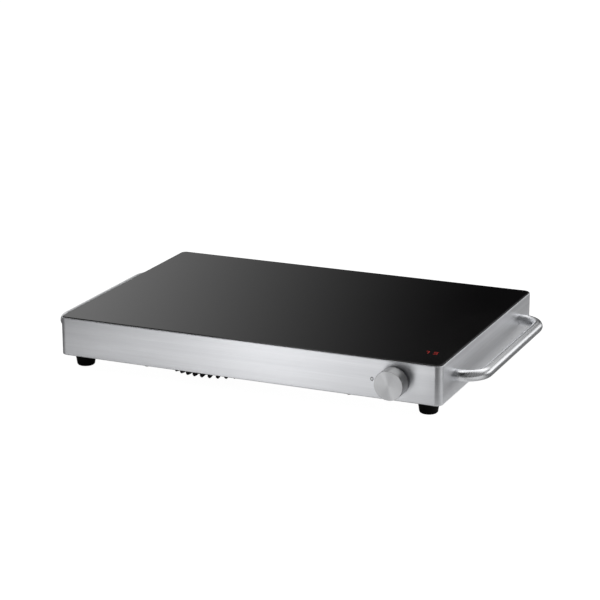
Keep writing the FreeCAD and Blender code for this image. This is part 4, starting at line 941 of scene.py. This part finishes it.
def glow_in_reflections(tree):
    split = add_node(tree, "SeparateXYZ")
    join(tree, object_pattern(tree), split.inputs[0])
    x, y = split.outputs["X"], split.outputs["Y"]
    fades = [ramp(tree, x, low, high, start, end) for start, low, end, high in FADES]
    glow = fades[0]
    for fade in fades[1:]:
        glow = combine(tree, "MULTIPLY", glow, fade)
    in_patch = combine(tree, "MULTIPLY", ramp(tree, x, 0.0, 1.0, *PATCH_X),
                       ramp(tree, y, 1.0, 0.0, *PATCH_Y))
    glow = combine(tree, "MULTIPLY", glow, ramp(tree, in_patch, 1.0, 0.0))
    is_under = combine(tree, "MULTIPLY", ramp(tree, x, 1.0, 0.0, *UNDER_X),
                       ramp(tree, y, 0.0, 1.0, *UNDER_Y))
    glow = combine(tree, "MULTIPLY", glow, ramp(tree, is_under, 1.0, UNDER_GLOW))
    in_strip = combine(tree, "MULTIPLY", ramp(tree, y, 0.0, 1.0, *STRIP_NEAR),
                       ramp(tree, y, 1.0, 0.0, *STRIP_FAR))
    strip = combine(tree, "MULTIPLY", ramp(tree, x, 0.0, FLOOR_STRIP_GLOW, *STRIP_X), in_strip)
    return combine(tree, "ADD", glow, strip)


# %% [markdown]
# The floor's material adds that glow to a plain grey surface, which takes the soft shadow of the
# box. Light paths tell the two kinds of looking apart. Rays from the camera, also through glass,
# see the full glow, and rays that were mirrored see the pattern. From below the floor is clear, so
# that the underside can be looked at.

# %% Floor
FLOOR_GLOW = 0.98
FLOOR_SIZE = 40


def white_floor():
    material, tree, shader = new_material("white_floor", Roughness=0.9,
                                          Base_Color=(0.18, 0.18, 0.18, 1))
    rays = add_node(tree, "LightPath").outputs
    strength = combine(tree, "MULTIPLY", rays["Is Glossy Ray"], glow_in_reflections(tree))
    for kind in ("Is Camera Ray", "Is Transmission Ray"):
        strength = combine(tree, "MAXIMUM", strength, rays[kind])
    glow = add_node(tree, "Emission", Color=(1, 1, 1, 1))
    join(tree, combine(tree, "MULTIPLY", strength, FLOOR_GLOW), glow.inputs["Strength"])
    lit = add_node(tree, "AddShader")
    join(tree, shader.outputs[0], lit.inputs[0])
    join(tree, glow.outputs[0], lit.inputs[1])
    side = add_node(tree, "NewGeometry")
    clear = add_node(tree, "BsdfTransparent")
    sides = add_node(tree, "MixShader")
    join(tree, side.outputs["Backfacing"], sides.inputs[0])
    join(tree, lit.outputs[0], sides.inputs[1])
    join(tree, clear.outputs[0], sides.inputs[2])
    join(tree, sides.outputs[0], tree.nodes["Material Output"].inputs["Surface"])
    return material


clear_selection()
bpy.ops.mesh.primitive_plane_add(size=FLOOR_SIZE)
floor = name_piece("floor")
floor.data.materials.append(white_floor())
print("floor", FLOOR_SIZE, "m wide")

# %% [markdown]
# The world is all that the object mirrors besides the floor, described by direction. It is nearly
# dark, with four lights in it. A wall of light at the left and behind gives the glass its long grey
# fade, a weak glow at the right tones the side wall, a bright dome high up towards the back lies on
# the tops of the tubes, and a low strip at the right and behind draws the line along the grip. What
# lies below the horizon is grey, for the views of the underside.

# %% World
DARK = 0.012
LEFT_GLOW = 0.66
LEFT_EDGE = (-0.478, -0.300)
LEFT_CURVE = 1.9
RIGHT_GLOW = 0.19
DOME_GLOW = 1.0
STRIP_GLOW = 1.3
BELOW_GLOW = 0.6

world = bpy.data.worlds.new("studio")
scene.world = world
world.use_nodes = True
air = world.node_tree
background = air.nodes["Background"]
background.inputs["Color"].default_value = (1, 1, 1, 1)
direction = add_node(air, "SeparateXYZ")
join(air, add_node(air, "TexCoord").outputs["Generated"], direction.inputs[0])


def along(axis, low, high, start, end):
    """Runs from low to high as the direction turns along an axis."""
    return ramp(air, direction.outputs[axis], low, high, start, end)


leftness = combine(air, "POWER", along("X", 1.0, 0.0, *LEFT_EDGE), LEFT_CURVE)
left_and_behind = combine(air, "MULTIPLY", leftness, along("Y", 0.0, 1.0, 0.0, 0.35))
walls = combine(air, "ADD", ramp(air, left_and_behind, DARK, LEFT_GLOW),
                along("X", 0.0, RIGHT_GLOW, 0.0, 0.5))
dome = combine(air, "MULTIPLY", along("Z", 0.0, DOME_GLOW, 0.50, 0.70),
               along("Y", 0.0, 1.0, -0.15, 0.3))
strip = combine(air, "MULTIPLY", along("X", 0.0, STRIP_GLOW, 0.15, 0.38),
                along("Z", 1.0, 0.0, 0.34, 0.42))
strip = combine(air, "MULTIPLY", strip, along("Y", 0.0, 1.0, 0.1, 0.4))
lights = combine(air, "MAXIMUM", combine(air, "MAXIMUM", walls, dome), strip)
total = combine(air, "ADD", lights, along("Z", BELOW_GLOW, 0.0, -0.05, 0.0))
join(air, total, background.inputs["Strength"])
print("world", world.name, len(air.nodes), "nodes")

# %% [markdown]
# Three soft lamps finish the studio. A large one overhead and a larger one behind give the even
# light of a product picture. A small one close to the front, low and to the left, makes the broad
# pale middle of the front wall and the wedges on the face of the knob.

# %% Lamps


def soft_lamp(name, place, aim, size, power):
    data = bpy.data.lights.new(name, "AREA")
    data.shape = "RECTANGLE"
    data.size, data.size_y = size
    data.energy = power
    lamp = bpy.data.objects.new(name, data)
    bpy.context.collection.objects.link(lamp)
    lamp.location = place
    lamp.rotation_euler = (Vector(aim) - Vector(place)).to_track_quat("-Z", "Y").to_euler()
    print("lamp", name, size, "m", power, "W")


soft_lamp("overhead", place=(-0.3, -0.2, 2.8), aim=(0, 0, 0), size=(1.6, 1.2), power=5)
soft_lamp("behind", place=(0.4, 2.6, 2.2), aim=(0, 0, 0.05), size=(3.0, 2.0), power=9)
soft_lamp("front", place=(-0.27, -0.93, 0.17), aim=(0.2, -0.19, 0.05), size=(0.22, 0.26),
          power=0.42)
